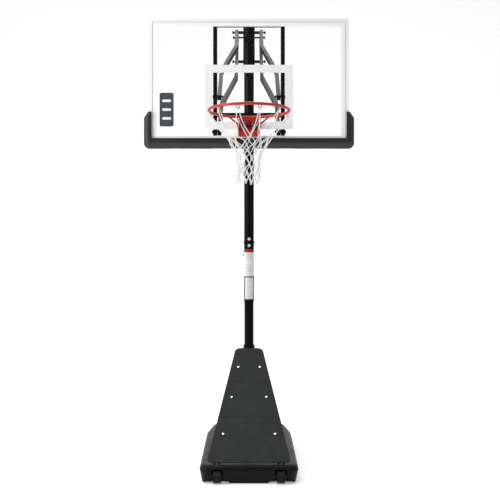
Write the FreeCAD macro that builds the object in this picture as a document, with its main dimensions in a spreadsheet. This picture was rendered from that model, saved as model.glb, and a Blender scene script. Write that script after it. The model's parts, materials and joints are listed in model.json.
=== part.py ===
"""Portable basketball hoop: rolling tank, two-piece pole, parallel-arm height lift, clear board, sprung rim.

The row frame is +X to the right, +Y away from the court, +Z up, in millimetres. The origin is on the
floor under the pole's axis. The hoop is drawn at its lowest setting.
"""
import FreeCAD, Part
import Sketcher
import math
import os
import re
from FreeCAD import Placement, Rotation, Vector

SIZES = {
    # pole
    "pole_radius": 38.1, "pole_wall": 2.3, "pole_top": 3216, "pole_step": 1070,
    "stub_radius": 35.5, "stub_wall": 2.5, "stub_bottom": 124, "stub_top": 1680,
    # tank
    "tank_half": 320, "tank_foot_inset": 20, "tank_top_inset": 28, "tank_front": -1122, "tank_rear": 82,
    "tank_waist": -190, "tank_rear_half": 280, "tank_shoulder": 100, "tank_top": 116, "tank_wall": 4,
    "tank_corner": 60, "well_half": 39, "well_top": 92, "well_back": -1050, "arch_half": 79, "arch_rise": 15,
    "arch_back": -1058, "pocket_half": 24, "pocket_front": 18, "pocket_back": 34,
    # wheels
    "wheel_radius": 41, "wheel_width": 52, "wheel_across": 202, "wheel_along": -1100, "wheel_height": 43,
    "dish_depth": 7, "axle_radius": 5, "axle_reach": 49, "running_gap": 0.05, "hole_gap": 0.2,
    # filler cap
    "cap_across": -190, "cap_along": -70, "cap_radius": 32, "cap_height": 16, "cap_plug_radius": 21.6,
    # struts and cover
    "strut_radius": 12.5, "strut_wall": 2, "strut_foot_across": 204, "strut_foot_along": -1070,
    "strut_foot_height": 130.8, "strut_head_across": 56, "strut_head_along": -110, "strut_head_height": 682,
    "strut_bolt_height": 680, "collar_radius": 44, "cover_angle": 30.38, "cover_front": -1087, "cover_low": 126,
    "cover_length": 1165, "cover_foot_half": 268, "cover_head_half": 102, "cover_thick": 8,
    # head of the pole and the lift
    "rod_radius": 7, "rod_reach": 130, "head_upper": 3158, "head_lower": 2932, "sleeve_radius": 45,
    "board_pivot_along": -1017, "board_pivot_upper": 2464, "board_pivot_lower": 2238, "pivot_bolt_radius": 6,
    "arm_width": 25, "arm_depth": 35, "arm_wall": 2, "arm_head_across": 95, "arm_board_across": 190,
    "splay_from": 330, "splay_to": 820, "upright_across": 217, "upright_depth": 50,
    "tail_along": 260, "tail_height": 3189,
    # screw jack
    "jack_along": 75, "jack_height": 1530, "jack_radius": 21, "jack_wall": 2.5, "jack_tube_top": 1150,
    "jack_rod_radius": 14, "jack_eye_bore": 18, "jack_eye_radius": 26, "crank_throw": 122, "crank_angle": 15,
    "bracket_half": 52.5,
    # board
    "board_width": 1270, "board_height": 795, "board_bottom": 2155, "board_front": -1078, "board_depth": 30,
    "rail_face": 20, "sheet_thick": 4, "sheet_setback": 2, "tube_size": 25, "tube_wall": 1.6,
    "cross_height": 2343, "border_width": 30, "target_width": 562, "target_height": 410,
    "target_bottom": 2246, "target_stripe": 50, "print_thick": 0.3,
    # pad
    "pad_half": 671, "pad_lip": 619, "pad_bottom": 2125, "pad_lip_top": 2189, "pad_arm_top": 2358,
    "pad_front": -1092, "pad_rear": -1034,
    # rim and net
    "rim_height": 2298, "rim_along": -1458, "ring_radius": 236, "ring_rod": 8.5, "hook_radius": 11,
    "hook_rod": 2.6, "hook_count": 12, "hinge_along": -1102, "hinge_height": 2262, "hinge_radius": 5,
    "net_thick": 3, "net_top": 2270, "net_top_radius": 224, "net_waist": 2030, "net_waist_radius": 78,
    "net_bottom": 1868, "net_foot_radius": 74,
    # rim mounting and spring
    "rim_bar_height": 2287, "rim_bolt": 5, "rim_bolt_across": 34, "rim_plate_half": 69, "rim_plate_low": 2200,
    "rim_plate_high": 2312, "spring_across": 26, "spring_along": -1136, "spring_radius": 11, "yoke_top": 2291,
    "spring_post": 3, "yoke_plate": 5, "yoke_half": 57, "rim_ear_across": 63, "spring_cup_half": 48, "brace_radius": 6,
    "brace_spread": 30, "upright_bottom": 2202, "top_bar_drop": 30,
    # fasteners, marks and small shafts
    "foot_pitch": 62, "foot_pitch_along": 43.4, "foot_margin": 18, "foot_bolt": 5, "strut_seat": 108,
    "strut_screw": 5, "joint_bolt": 6, "joint_upper": 1556, "joint_lower": 1506, "brace_bolt": 5,
    "collar_below": 22, "collar_above": 57, "cover_screw": 3, "cover_corner": 34, "band_bottom": 1457,
    "band_height": 20, "label_bottom": 1081, "jack_pin": 6, "jack_screw": 6, "screw_top": 1000,
    "jack_nut_from": 820, "crank_shaft": 6, "crank_knob": 14,
}

doc = FreeCAD.newDocument("hoop")
sheet = doc.addObject("Spreadsheet::Sheet", "dims")
for row, (alias, number) in enumerate(SIZES.items(), 1):
    sheet.set(f"A{row}", alias)
    sheet.set(f"B{row}", str(number))
    sheet.setAlias(f"B{row}", alias)
doc.recompute()

PARTS = []
BRACKET_BOLTS = (-41, 41)
ALONG_X = Rotation(Vector(0, 1, 0), 90)
ALONG_Y = Rotation(Vector(1, 0, 0), -90)
UPRIGHT = Rotation()


def size(alias):
    """The number that the sheet holds under this alias."""
    return float(sheet.get(alias))


def formula(text):
    """A FreeCAD expression from one that names aliases alone."""
    return re.sub(r"[a-z_]+", lambda word: "dims." + word[0] if word[0] in SIZES else word[0], str(text))


def bind(thing, **formulas):
    """Bind properties, where __ stands for a dot, to expressions over the sheet."""
    for name, text in formulas.items():
        thing.setExpression(name.replace("__", "."), formula(text))
    return thing


def placed(thing, at, turn=UPRIGHT):
    """Put an object at a point given as three expressions, turned by a rotation."""
    thing.Placement = Placement(Vector(), turn)
    return bind(thing, Placement__Base__x=at[0], Placement__Base__y=at[1], Placement__Base__z=at[2])


def block(x_from, x_to, y_from, y_to, z_from, z_to):
    """A box between six expressions."""
    solid = doc.addObject("Part::Box", "block")
    bind(solid, Length=f"({x_to}) - ({x_from})", Width=f"({y_to}) - ({y_from})",
         Height=f"({z_to}) - ({z_from})")
    return placed(solid, (x_from, y_from, z_from))


def round_bar(radius, length, at, turn=UPRIGHT, angle=360):
    """A cylinder that starts at a point and runs along its turned Z axis."""
    solid = doc.addObject("Part::Cylinder", "round_bar")
    bind(solid, Radius=radius, Height=length)
    solid.Angle = angle
    return placed(solid, at, turn)


def cut(base, *tools):
    """The base less every tool."""
    for tool in tools:
        result = doc.addObject("Part::Cut", "cut")
        result.Base, result.Tool = base, tool
        base = result
    return base


def fuse(*solids):
    """One solid out of several."""
    result = doc.addObject("Part::MultiFuse", "fuse")
    result.Shapes = list(solids)
    result.Refine = True
    return result


def group(*solids):
    """Several separate solids in one object."""
    result = doc.addObject("Part::Compound", "group")
    result.Links = list(solids)
    return result


def part(label, thing):
    """Register a finished sub-part under its label."""
    thing.Label = label
    PARTS.append(thing)
    return thing


def number_of(text):
    """The value of one expression over the sheet, worked out by FreeCAD's own units parser."""
    return FreeCAD.Units.Quantity(re.sub(
        r"[a-z_]+", lambda word: f"({size(word[0])!r})" if word[0] in SIZES else word[0], str(text))).Value


def plane_of(body, role):
    """The origin plane of a body that has this role."""
    return next(feature for feature in body.Origin.OriginFeatures if feature.Role == role)


def profile(body, plane, loops, offset=None):
    """A sketch on an origin plane, with one loop of straight lines for each list of corner expressions."""
    sketch = body.newObject("Sketcher::SketchObject", "profile")
    sketch.AttachmentSupport = [(plane_of(body, plane), "")]
    sketch.MapMode = "FlatFace"
    if offset is not None:
        bind(sketch, AttachmentOffset__Base__z=offset)

    def pin(index, point, across, up):
        """Tie a point to the sketch's origin by two distances."""
        for kind, text in (("DistanceX", across), ("DistanceY", up)):
            made = sketch.addConstraint(Sketcher.Constraint(kind, -1, 1, index, point, number_of(text)))
            sketch.setExpression(f"Constraints[{made}]", formula(text))

    for loop in loops:
        corners = [Vector(number_of(x), number_of(y), 0) for x, y in loop]
        first = sketch.GeometryCount
        for k, corner in enumerate(corners):
            sketch.addGeometry(Part.LineSegment(corner, corners[(k + 1) % len(corners)]))
        for k, (across, up) in enumerate(loop):
            nxt = first + (k + 1) % len(loop)
            sketch.addConstraint(Sketcher.Constraint("Coincident", first + k, 2, nxt, 1))
            pin(first + k, 1, across, up)
    return sketch


def bar_between(radius, start, end):
    """A cylinder between two points given as expressions."""
    run = Vector(*(number_of(f"({b}) - ({a})") for a, b in zip(start, end)))
    squares = " + ".join(f"(({b}) - ({a}))^2" for a, b in zip(start, end))
    return round_bar(radius, f"sqrt({squares})", start, Rotation(Vector(0, 0, 1), run))


def hex_bar(across_corners, length, at, turn=UPRIGHT):
    """A hexagonal nut or bolt head along its turned Z axis."""
    solid = doc.addObject("Part::Prism", "hex_bar")
    solid.Polygon = 6
    bind(solid, Circumradius=across_corners, Height=length)
    return placed(solid, at, turn)


def torus(radius, rod, at, turn=UPRIGHT):
    """A ring of round rod, flat in its turned XY plane."""
    solid = doc.addObject("Part::Torus", "torus")
    bind(solid, Radius1=radius, Radius2=rod)
    return placed(solid, at, turn)


def tube(outer, wall, bottom, top):
    """An upright pipe about the pole's axis, between two heights."""
    length = f"({top}) - ({bottom})"
    bore = round_bar(f"({outer}) - ({wall})", f"{length} + 2", ("0", "0", f"({bottom}) - 1"))
    return cut(round_bar(outer, length, ("0", "0", bottom)), bore)


def cross_bolt(radius, reach, along, height, nut=6, across="0"):
    """A bolt along X with a hexagon at both ends, centred on across."""
    shank = round_bar(radius, f"2 * ({reach})", (f"({across}) - ({reach})", along, height), ALONG_X)
    ends = [hex_bar(f"1.9 * ({radius})", nut, (f"({across}) + ({place})", along, height), ALONG_X)
            for place in (f"-({reach}) + 2", f"({reach}) - 2 - {nut}")]
    return fuse(shank, *ends)


def extruded(plane, loops, length, offset=None, midplane=False):
    """A PartDesign body with one padded sketch."""
    body = doc.addObject("PartDesign::Body", "extruded")
    sketch = profile(body, plane, loops, offset)
    pad = body.newObject("PartDesign::Pad", "pad")
    pad.Profile = sketch
    pad.Midplane = midplane
    bind(pad, Length=length)
    body.Tip = pad
    doc.recompute()
    return body


def revolved(loop):
    """A PartDesign body turned from an XZ profile about the row's Z direction."""
    body = doc.addObject("PartDesign::Body", "revolved")
    sketch = profile(body, "XZ_Plane", [loop])
    turn = body.newObject("PartDesign::Revolution", "turn")
    turn.Profile = sketch
    turn.ReferenceAxis = (sketch, ["V_Axis"])
    turn.Angle = 360
    body.Tip = turn
    doc.recompute()
    return body


# ---- tank ----------------------------------------------------------------------------------------

def tank_outline(inset):
    """Plan of the tank, drawn in by an inset: square nose, slightly narrower tail, cut corners."""
    half, rear = f"tank_half - {inset}", f"tank_rear_half - {inset}"
    front, back = f"tank_front + {inset}", f"tank_rear - {inset}"
    right = [(f"{half} - tank_corner", front), (half, f"{front} + tank_corner"), (half, "tank_waist"),
             (rear, f"{back} - tank_corner"), (f"{rear} - tank_corner", back)]
    return right + [(f"-({x})", y) for x, y in reversed(right)]


def tank_block(shrink):
    """The tank's drafted block, every face moved in by shrink."""
    body = doc.addObject("PartDesign::Body", "tank_block")
    levels = ((f"tank_foot_inset + {shrink}", shrink), (shrink, "tank_shoulder"),
              (f"tank_top_inset + {shrink}", f"tank_top - {shrink}"))
    sketches = [profile(body, "XY_Plane", [tank_outline(f"({inset})")], height) for inset, height in levels]
    loft = body.newObject("PartDesign::AdditiveLoft", "loft")
    loft.Profile = sketches[0]
    loft.Sections = sketches[1:]
    loft.Ruled = True
    body.Tip = loft
    doc.recompute()
    return body


def well(side, grow):
    """The pocket that a front wheel stands in, or the wall around it."""
    middle = f"{side} * wheel_across"
    return block(f"{middle} - well_half - {grow}", f"{middle} + well_half + {grow}",
                 "tank_front - 10", f"well_back + {grow}", "-5", f"well_top + {grow} * 0.5")


def arch(side, grow):
    """The low arch in the tank's front edge round a wheel, or the wall above it."""
    middle = f"{side} * wheel_across"
    return block(f"{middle} - arch_half - {grow}", f"{middle} + arch_half + {grow}", "tank_front - 10",
                 f"arch_back + {grow}", "-5", f"arch_rise + {grow}")


def strut_pocket(side, grow):
    """The recess in the tank's top under a strut's foot, or the wall around it."""
    middle = f"{side} * strut_foot_across"
    return block(f"{middle} - pocket_half - {grow}", f"{middle} + pocket_half + {grow}",
                 f"strut_foot_along - pocket_front - {grow}", f"strut_foot_along + pocket_back + {grow}",
                 f"strut_seat - {grow}", "tank_top + 20")


def base_tank():
    """The hollow tank with its wheel wells, arches, strut pockets and holes."""
    cavity = cut(tank_block("tank_wall"), *(well(side, "(axle_reach - well_half + 3)") for side in (-1, 1)),
                 *(arch(side, "tank_wall") for side in (-1, 1)),
                 *(strut_pocket(side, "tank_wall") for side in (-1, 1)),
                 block("-100", "100", "-70", "70", "0", "tank_top + 5"))
    holes = [round_bar("foot_bolt + hole_gap", "30", (x, y, "tank_top - 29"))
             for x in ("-foot_pitch", "foot_pitch") for y in ("-foot_pitch_along", "foot_pitch_along")]
    holes += [round_bar("strut_screw + hole_gap", "16", (f"{side} * strut_foot_across", "strut_foot_along",
                                                          "strut_seat - 15")) for side in (-1, 1)]
    holes += [round_bar("axle_radius + hole_gap", "2 * axle_reach + 1",
                        (f"{side} * wheel_across - axle_reach - 0.5", "wheel_along", "wheel_height"), ALONG_X)
              for side in (-1, 1)]
    filler = round_bar("cap_plug_radius + running_gap", "tank_wall * 3", ("cap_across", "cap_along",
                                                                          "tank_top - tank_wall * 2"))
    part("base_tank", cut(tank_block("0"), cavity, *(well(side, "0") for side in (-1, 1)),
                          *(arch(side, "0") for side in (-1, 1)),
                          *(strut_pocket(side, "0") for side in (-1, 1)), *holes, filler))


def filler_cap():
    """The screw-in cap with its finger grip."""
    rim = round_bar("cap_radius", "cap_height", ("cap_across", "cap_along", "tank_top + 0.1"))
    plug = round_bar("cap_plug_radius", "14", ("cap_across", "cap_along", "tank_top - 13"))
    grip = block("cap_across - cap_radius * 0.75", "cap_across + cap_radius * 0.75", "cap_along - 4",
                 "cap_along + 4", "tank_top + cap_height", "tank_top + cap_height + 9")
    part("filler_cap", fuse(rim, plug, grip))


def wheels():
    """The two front wheels, dished on both faces, and their axles."""
    for side, name in ((-1, "left"), (1, "right")):
        middle = (f"{side} * wheel_across - wheel_width / 2", "wheel_along", "wheel_height")
        tyre = round_bar("wheel_radius", "wheel_width", middle, ALONG_X)
        bore = round_bar("axle_radius + running_gap", "wheel_width + 2", (
            f"{side} * wheel_across - wheel_width / 2 - 1", "wheel_along", "wheel_height"), ALONG_X)
        dish = [cut(round_bar("wheel_radius * 0.72", "dish_depth", (
            f"{side} * wheel_across + {place}", "wheel_along", "wheel_height"), ALONG_X),
            round_bar("wheel_radius * 0.34", "dish_depth + 2", (
                f"{side} * wheel_across + {place} - 1", "wheel_along", "wheel_height"), ALONG_X))
            for place in ("wheel_width / 2 - dish_depth", "-wheel_width / 2")]
        part(f"wheel_{name}", cut(tyre, bore, *dish))
    part("wheel_axles", group(*(round_bar("axle_radius", "2 * axle_reach", (
        f"{side} * wheel_across - axle_reach", "wheel_along", "wheel_height"), ALONG_X) for side in (-1, 1))))


# ---- pole, struts and cover ----------------------------------------------------------------------

def joint_holes():
    """Holes through the front of both tubes for the joint bolts and through their rear for the jack's."""
    front = [round_bar("joint_bolt + hole_gap", "50", ("0", "-50", height), ALONG_Y)
             for height in ("joint_upper", "joint_lower")]
    rear = [round_bar("joint_bolt + hole_gap", "50", ("0", "0", f"jack_height + {rise}"), ALONG_Y)
            for rise in BRACKET_BOLTS]
    return front + rear


def pole():
    """Both tubes of the pole with their bolts, cap, height band and label."""
    holes = [round_bar("rod_radius + hole_gap", "120", ("-60", "0", height), ALONG_X)
             for height in ("head_upper", "head_lower")]
    brace = round_bar("brace_bolt + hole_gap", "120", ("-60", "0", "strut_bolt_height"), ALONG_X)
    part("upper_pole", cut(tube("pole_radius", "pole_wall", "pole_step", "pole_top"), *holes,
                           *joint_holes()))
    part("lower_pole", cut(tube("stub_radius", "stub_wall", "stub_bottom", "stub_top"), brace,
                           *joint_holes()))
    front = [fuse(round_bar("joint_bolt", "20", ("0", "-pole_radius - 4", height), ALONG_Y),
                  round_bar("joint_bolt * 1.9", "5", ("0", "-pole_radius - 5.5", height), ALONG_Y))
             for height in ("joint_upper", "joint_lower")]
    rear = [fuse(round_bar("joint_bolt", "22", ("0", "pole_radius - 12", f"jack_height + {rise}"), ALONG_Y),
                 round_bar("joint_bolt * 1.9", "5", ("0", "pole_radius + 6.6", f"jack_height + {rise}"), ALONG_Y))
            for rise in BRACKET_BOLTS]
    part("pole_bolts", group(*front, *rear))
    lid = round_bar("pole_radius + 3", "8", ("0", "0", "pole_top + 0.1"))
    stopper = round_bar("pole_radius - pole_wall - hole_gap", "22", ("0", "0", "pole_top - 20"))
    part("pole_cap", fuse(lid, stopper))
    part("height_band", tube("pole_radius + 1.2", "1.1", "band_bottom", "band_bottom + band_height"))
    part("label_sleeve", tube("pole_radius + 0.7", "0.6", "label_bottom", "band_bottom - 4"))


def pole_foot():
    """The plate and socket that hold the pole on the tank."""
    plate = block("-foot_pitch - foot_margin", "foot_pitch + foot_margin", "-foot_pitch_along - foot_margin",
                  "foot_pitch_along + foot_margin", "tank_top + 0.1", "stub_bottom - 0.1")
    socket = cut(round_bar("stub_radius + 4", "70", ("0", "0", "stub_bottom - 0.1")),
                 round_bar("stub_radius + hole_gap", "90", ("0", "0", "stub_bottom - 0.1")))
    places = [(x, y) for x in ("-foot_pitch", "foot_pitch") for y in ("-foot_pitch_along", "foot_pitch_along")]
    holes = [round_bar("foot_bolt + hole_gap", "30", (x, y, "tank_top - 5")) for x, y in places]
    part("pole_foot_plate", cut(fuse(plate, socket), *holes))
    part("pole_foot_bolts", group(*(fuse(round_bar("foot_bolt", "24", (x, y, "tank_top - 15")),
                                         hex_bar("foot_bolt * 1.9", "6", (x, y, "stub_bottom")))
                                    for x, y in places)))


def struts():
    """The two slanting struts with their seats, the collar and their bolts."""
    for side, name in ((-1, "left"), (1, "right")):
        foot = (f"{side} * strut_foot_across", "strut_foot_along + 22", "strut_foot_height")
        head = (f"{side} * strut_head_across", "strut_head_along", "strut_head_height")
        bar = cut(bar_between("strut_radius", foot, head), bar_between("strut_radius - strut_wall", foot, head))
        seat = block(f"{foot[0]} - 13", f"{foot[0]} + 13", "strut_foot_along - 14", "strut_foot_along + 28",
                     "strut_seat + 0.1", "strut_seat + 5")
        post = block(f"{foot[0]} - 10", f"{foot[0]} + 10", "strut_foot_along + 20", "strut_foot_along + 28",
                     "strut_seat + 1", "strut_foot_height + 1")
        edge = sorted((side * (size("collar_radius") + 0.3), side * (size("collar_radius") + 5.3)))
        ear = block(edge[0], edge[1], "strut_head_along - 8", "16", "strut_bolt_height - 18",
                    "strut_bolt_height + 14")
        bolt = round_bar("brace_bolt + hole_gap", "140", ("-70", "0", "strut_bolt_height"), ALONG_X)
        screw = round_bar("strut_screw + hole_gap", "40", (
            f"{side} * strut_foot_across", "strut_foot_along", "strut_seat - 20"))
        part(f"strut_{name}", cut(fuse(bar, seat, post, ear), bolt, screw,
                                  *cover_screw_shanks(side, "hole_gap")))
    collar = cut(tube("collar_radius", "collar_radius - stub_radius - hole_gap", "strut_bolt_height - collar_below",
                      "strut_bolt_height + collar_above"),
                 round_bar("brace_bolt + hole_gap", "120", ("-60", "0", "strut_bolt_height"), ALONG_X))
    part("strut_collar", collar)
    part("strut_head_bolt", cross_bolt("brace_bolt", "collar_radius + 16", "0", "strut_bolt_height"))
    places = [(f"{side} * strut_foot_across", "strut_foot_along") for side in (-1, 1)]
    part("strut_foot_bolts", group(*(fuse(round_bar("strut_screw", "24", (x, y, "strut_seat - 14")),
                                          hex_bar("strut_screw * 1.9", "6", (x, y, "strut_seat + 5.1")))
                                     for x, y in places)))


def on_cover(distance, across, lift=0.0):
    """A point at a distance up the cover's slope, across it and above its underside."""
    angle = math.radians(size("cover_angle"))
    along = size("cover_front") + distance * math.cos(angle) - lift * math.sin(angle)
    return Vector(across, along, size("cover_low") + distance * math.sin(angle) + lift * math.cos(angle))


SLOPE = Rotation(Vector(1, 0, 0), size("cover_angle"))


def cover_screw_places():
    """Distance up the slope and offset from the middle of the three screws of one side."""
    return (("cover_length * 0.213", 172), ("cover_length * 0.524", 122), ("cover_length * 0.805", 79))


def cover_screw_shanks(side, gap="0"):
    """The shanks of one side's cover screws, grown by a gap."""
    return [round_bar(f"cover_screw + {gap}", "cover_thick + 16", tuple(
        on_cover(number_of(distance), side * across, -15)), SLOPE) for distance, across in cover_screw_places()]


def cover():
    """The sloping panel over the struts and its screws."""
    corners = [("-cover_foot_half", "0"), ("cover_foot_half", "0"), ("cover_head_half", "cover_length"),
               ("-cover_head_half", "cover_length")]
    body = extruded("XY_Plane", [corners], "cover_thick")
    pad = body.Tip
    uprights = [f"Edge{k + 1}" for k, edge in enumerate(pad.Shape.Edges)
                if abs(edge.Vertexes[0].Z - edge.Vertexes[-1].Z) > 1]
    rounding = body.newObject("PartDesign::Fillet", "rounding")
    rounding.Base = (pad, uprights)
    bind(rounding, Radius="cover_corner")
    body.Tip = rounding
    placed(body, ("0", "cover_front", "cover_low"), SLOPE)
    part("cover_panel", cut(body, *cover_screw_shanks(-1, "hole_gap"), *cover_screw_shanks(1, "hole_gap")))
    screws = []
    for side in (-1, 1):
        for (distance, across), shank in zip(cover_screw_places(), cover_screw_shanks(side)):
            head = round_bar("cover_screw * 2.2", "3.5", tuple(
                on_cover(number_of(distance), side * across, size("cover_thick") + 0.1)), SLOPE)
            screws.append(fuse(shank, head))
    part("cover_screws", group(*screws))


# ---- head, arms and jack -------------------------------------------------------------------------

def pole_head():
    """The sleeve, the two pivot rods and the spacers at the pole's head."""
    bores = [round_bar("rod_radius + hole_gap", "120", ("-60", "0", height), ALONG_X)
             for height in ("head_upper", "head_lower")]
    part("head_sleeve", cut(tube("sleeve_radius", "sleeve_radius - pole_radius - hole_gap", "head_lower - 36",
                                 "head_upper + 36"), *bores))
    heights = ("head_upper", "head_lower")
    part("pole_pivot_rods", group(*(cross_bolt("rod_radius", "rod_reach", "0", height, nut=9)
                                    for height in heights)))
    spacers = []
    for height in heights:
        for side in (-1, 1):
            ends = sorted((side * (size("sleeve_radius") + 0.5), side * (size("arm_head_across") - 13)))
            at = (str(ends[0]), "0", height)
            spacers.append(cut(round_bar("rod_radius + 5", str(ends[1] - ends[0]), at, ALONG_X),
                               round_bar("rod_radius + hole_gap", str(ends[1] - ends[0]), at, ALONG_X)))
    part("pivot_spacers", group(*spacers))


ARM_RUN = math.hypot(size("board_pivot_along"), size("head_lower") - size("board_pivot_lower"))
ARM_TILT = math.degrees(math.atan2(size("head_lower") - size("board_pivot_lower"), -size("board_pivot_along")))


def arm_band(side, wall):
    """Plan of an arm: straight at the pole, splayed in the middle, straight at the board."""
    end = size("arm_depth") / 2 - wall
    centre = [(size("arm_head_across"), end), (size("arm_head_across"), -size("splay_from")),
              (size("arm_board_across"), -size("splay_to")), (size("arm_board_across"), -ARM_RUN - end)]
    half = size("arm_width") / 2 - wall
    rise = centre[2][0] - centre[1][0]
    mitre = half * math.tan(math.atan2(rise, centre[1][1] - centre[2][1]) / 2)
    shifts = (0, mitre, mitre, 0)
    outer = [(side * (x + half), y + shift) for (x, y), shift in zip(centre, shifts)]
    inner = [(side * (x - half), y - shift) for (x, y), shift in zip(centre, shifts)]
    return outer + inner[::-1]


def arm_shell(side, pivot):
    """The outside and the inside of an arm's tube, placed on its pole pivot."""
    pair = []
    for wall in (0, size("arm_wall")):
        body = extruded("XY_Plane", [arm_band(side, wall)], f"arm_depth - 2 * {wall}", midplane=True)
        pair.append(placed(body, ("0", "0", pivot), Rotation(Vector(1, 0, 0), ARM_TILT)))
    return pair


def arms():
    """The four arms of the lift and the rod through the lower arms' tails."""
    open_gap = "hole_gap + 0.2"
    for side, name in ((-1, "left"), (1, "right")):
        for level, pivot, board_pivot, gap in (("upper", "head_upper", "board_pivot_upper", open_gap),
                                               ("lower", "head_lower", "board_pivot_lower", "running_gap")):
            outer, inner = arm_shell(side, pivot)
            start = f"{side} * arm_head_across - 20"
            holes = [round_bar("rod_radius + running_gap", "40", (start, "0", pivot), ALONG_X),
                     round_bar(f"pivot_bolt_radius + {gap}", "60", (
                         f"{side} * arm_board_across - 30", "board_pivot_along", board_pivot), ALONG_X)]
            if level == "lower":
                tail_outer, tail_inner = (tail_box(side, wall) for wall in (0, size("arm_wall")))
                holes.append(round_bar("rod_radius + hole_gap", "40", (start, "tail_along", "tail_height"),
                                       ALONG_X))
                part(f"lower_arm_{name}", cut(fuse(outer, tail_outer), inner, tail_inner, *holes))
            else:
                part(f"upper_arm_{name}", cut(outer, inner, *holes))
    part("tail_rod", cross_bolt("rod_radius", "rod_reach", "tail_along", "tail_height", nut=9))


def tail_box(side, wall):
    """The tail of a lower arm, from its pole pivot back and up to the jack's rod."""
    run = Vector(0, size("tail_along"), size("tail_height") - size("head_lower"))
    half = size("arm_depth") / 2 - wall
    width = size("arm_width") / 2 - wall
    solid = doc.addObject("Part::Box", "tail_box")
    bind(solid, Length=f"arm_width - 2 * {wall}", Width=f"arm_depth - 2 * {wall}", Height=run.Length + 2 * half)
    turn = Rotation(Vector(0, 0, 1), run)
    corner = Vector(side * size("arm_head_across") - width, 0, size("head_lower"))
    corner += turn.multVec(Vector(0, -half, -half))
    return placed(solid, tuple(corner), turn)


JACK_RUN = Vector(0, size("tail_along") - size("jack_along"), size("tail_height") - size("jack_height"))
JACK_TURN = Rotation(Vector(0, 0, 1), JACK_RUN)


def on_jack(*local):
    """A point of the jack's own frame: origin on its pivot, Z along the tube."""
    return tuple(Vector(0, size("jack_along"), size("jack_height")) + JACK_TURN.multVec(Vector(*local)))


def jack_round(radius, start, end):
    """A round bar on the jack's axis."""
    return round_bar(radius, str(end - start), on_jack(0, 0, start), JACK_TURN)


def jack():
    """The crank jack: bracket, housing, tube, screw, rod, crank and knob."""
    cheeks = [block(f"{side} * 31 - 3", f"{side} * 31 + 3", "pole_radius + 6", "jack_along + 16",
                    "jack_height - 20", "jack_height + 20") for side in (-1, 1)]
    base = block("-34", "34", "pole_radius + 0.2", "pole_radius + 6.5", "jack_height - bracket_half",
                 "jack_height + bracket_half")
    pin_hole = round_bar("jack_pin + hole_gap", "80", ("-40", "jack_along", "jack_height"), ALONG_X)
    bolt_holes = [round_bar("joint_bolt + hole_gap", "20", ("0", "pole_radius - 2", f"jack_height + {rise}"),
                            ALONG_Y) for rise in BRACKET_BOLTS]
    part("jack_bracket", cut(fuse(base, *cheeks), pin_hole, *bolt_holes))
    part("jack_pin", cross_bolt("jack_pin", "43", "jack_along", "jack_height", nut=5))
    shell = doc.addObject("Part::Box", "housing")
    bind(shell, Length="50", Width="46", Height="76")
    placed(shell, on_jack(-25, -23, -28), JACK_TURN)
    hollow = doc.addObject("Part::Box", "housing_hollow")
    bind(hollow, Length="42", Width="38", Height="28")
    placed(hollow, on_jack(-21, -19, 14), JACK_TURN)
    pin_way = round_bar("jack_pin + running_gap", "80", ("-40", "jack_along", "jack_height"), ALONG_X)
    shaft_way = round_bar("crank_shaft + running_gap", "30", on_jack(0, 10, 28), JACK_TURN * ALONG_Y)
    screw_way = jack_round("jack_screw + hole_gap", 30, 60)
    part("jack_housing", cut(shell, hollow, pin_way, shaft_way, screw_way))
    tube_top = size("jack_tube_top")
    part("jack_tube", cut(jack_round("jack_radius", 48.1, tube_top),
                          jack_round("jack_radius - jack_wall", 48, tube_top + 1)))
    part("jack_screw", fuse(jack_round("jack_screw", 20, size("screw_top")),
                            jack_round("jack_screw + 5", 33, 40)))
    nut_from = size("jack_nut_from")
    reach = JACK_RUN.Length
    eye = round_bar("jack_eye_radius", "30", on_jack(-15, 0, reach), JACK_TURN * ALONG_X)
    rod = fuse(jack_round("jack_rod_radius", nut_from, reach - 20), eye)
    part("jack_rod", cut(rod, jack_round("jack_screw + 3", nut_from + 24, reach - 40),
                         jack_round("jack_screw + hole_gap", nut_from - 1, nut_from + 25),
                         round_bar("jack_eye_bore", "32", on_jack(-16, 0, reach), JACK_TURN * ALONG_X)))
    angle = math.radians(size("crank_angle"))
    throw = size("crank_throw")
    knob_at = (-throw * math.sin(angle), 28 - throw * math.cos(angle))
    shaft = round_bar("crank_shaft", "53", on_jack(0, 12, 28), JACK_TURN * ALONG_Y)
    web = bar_between("crank_shaft * 0.9", on_jack(0, 59, 28), on_jack(knob_at[0], 59, knob_at[1]))
    stem = round_bar("crank_shaft * 0.8", "70", on_jack(knob_at[0], 52.5, knob_at[1]), JACK_TURN * ALONG_Y)
    part("crank", fuse(shaft, web, stem))
    grip = cut(round_bar("crank_knob", "52", on_jack(knob_at[0], 68, knob_at[1]), JACK_TURN * ALONG_Y),
               round_bar("crank_shaft * 0.8 + running_gap", "54.6", on_jack(knob_at[0], 67, knob_at[1]),
                         JACK_TURN * ALONG_Y))
    part("crank_knob", grip)


# ---- board ---------------------------------------------------------------------------------------

def frame_ring(half_width, bottom, top, stripe, y_from, y_to):
    """A flat rectangular ring."""
    solid = block(f"-({half_width})", half_width, y_from, y_to, bottom, top)
    return cut(solid, block(f"-({half_width}) + {stripe}", f"{half_width} - {stripe}", f"{y_from} - 1",
                            f"{y_to} + 1", f"{bottom} + {stripe}", f"{top} - {stripe}"))


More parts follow.
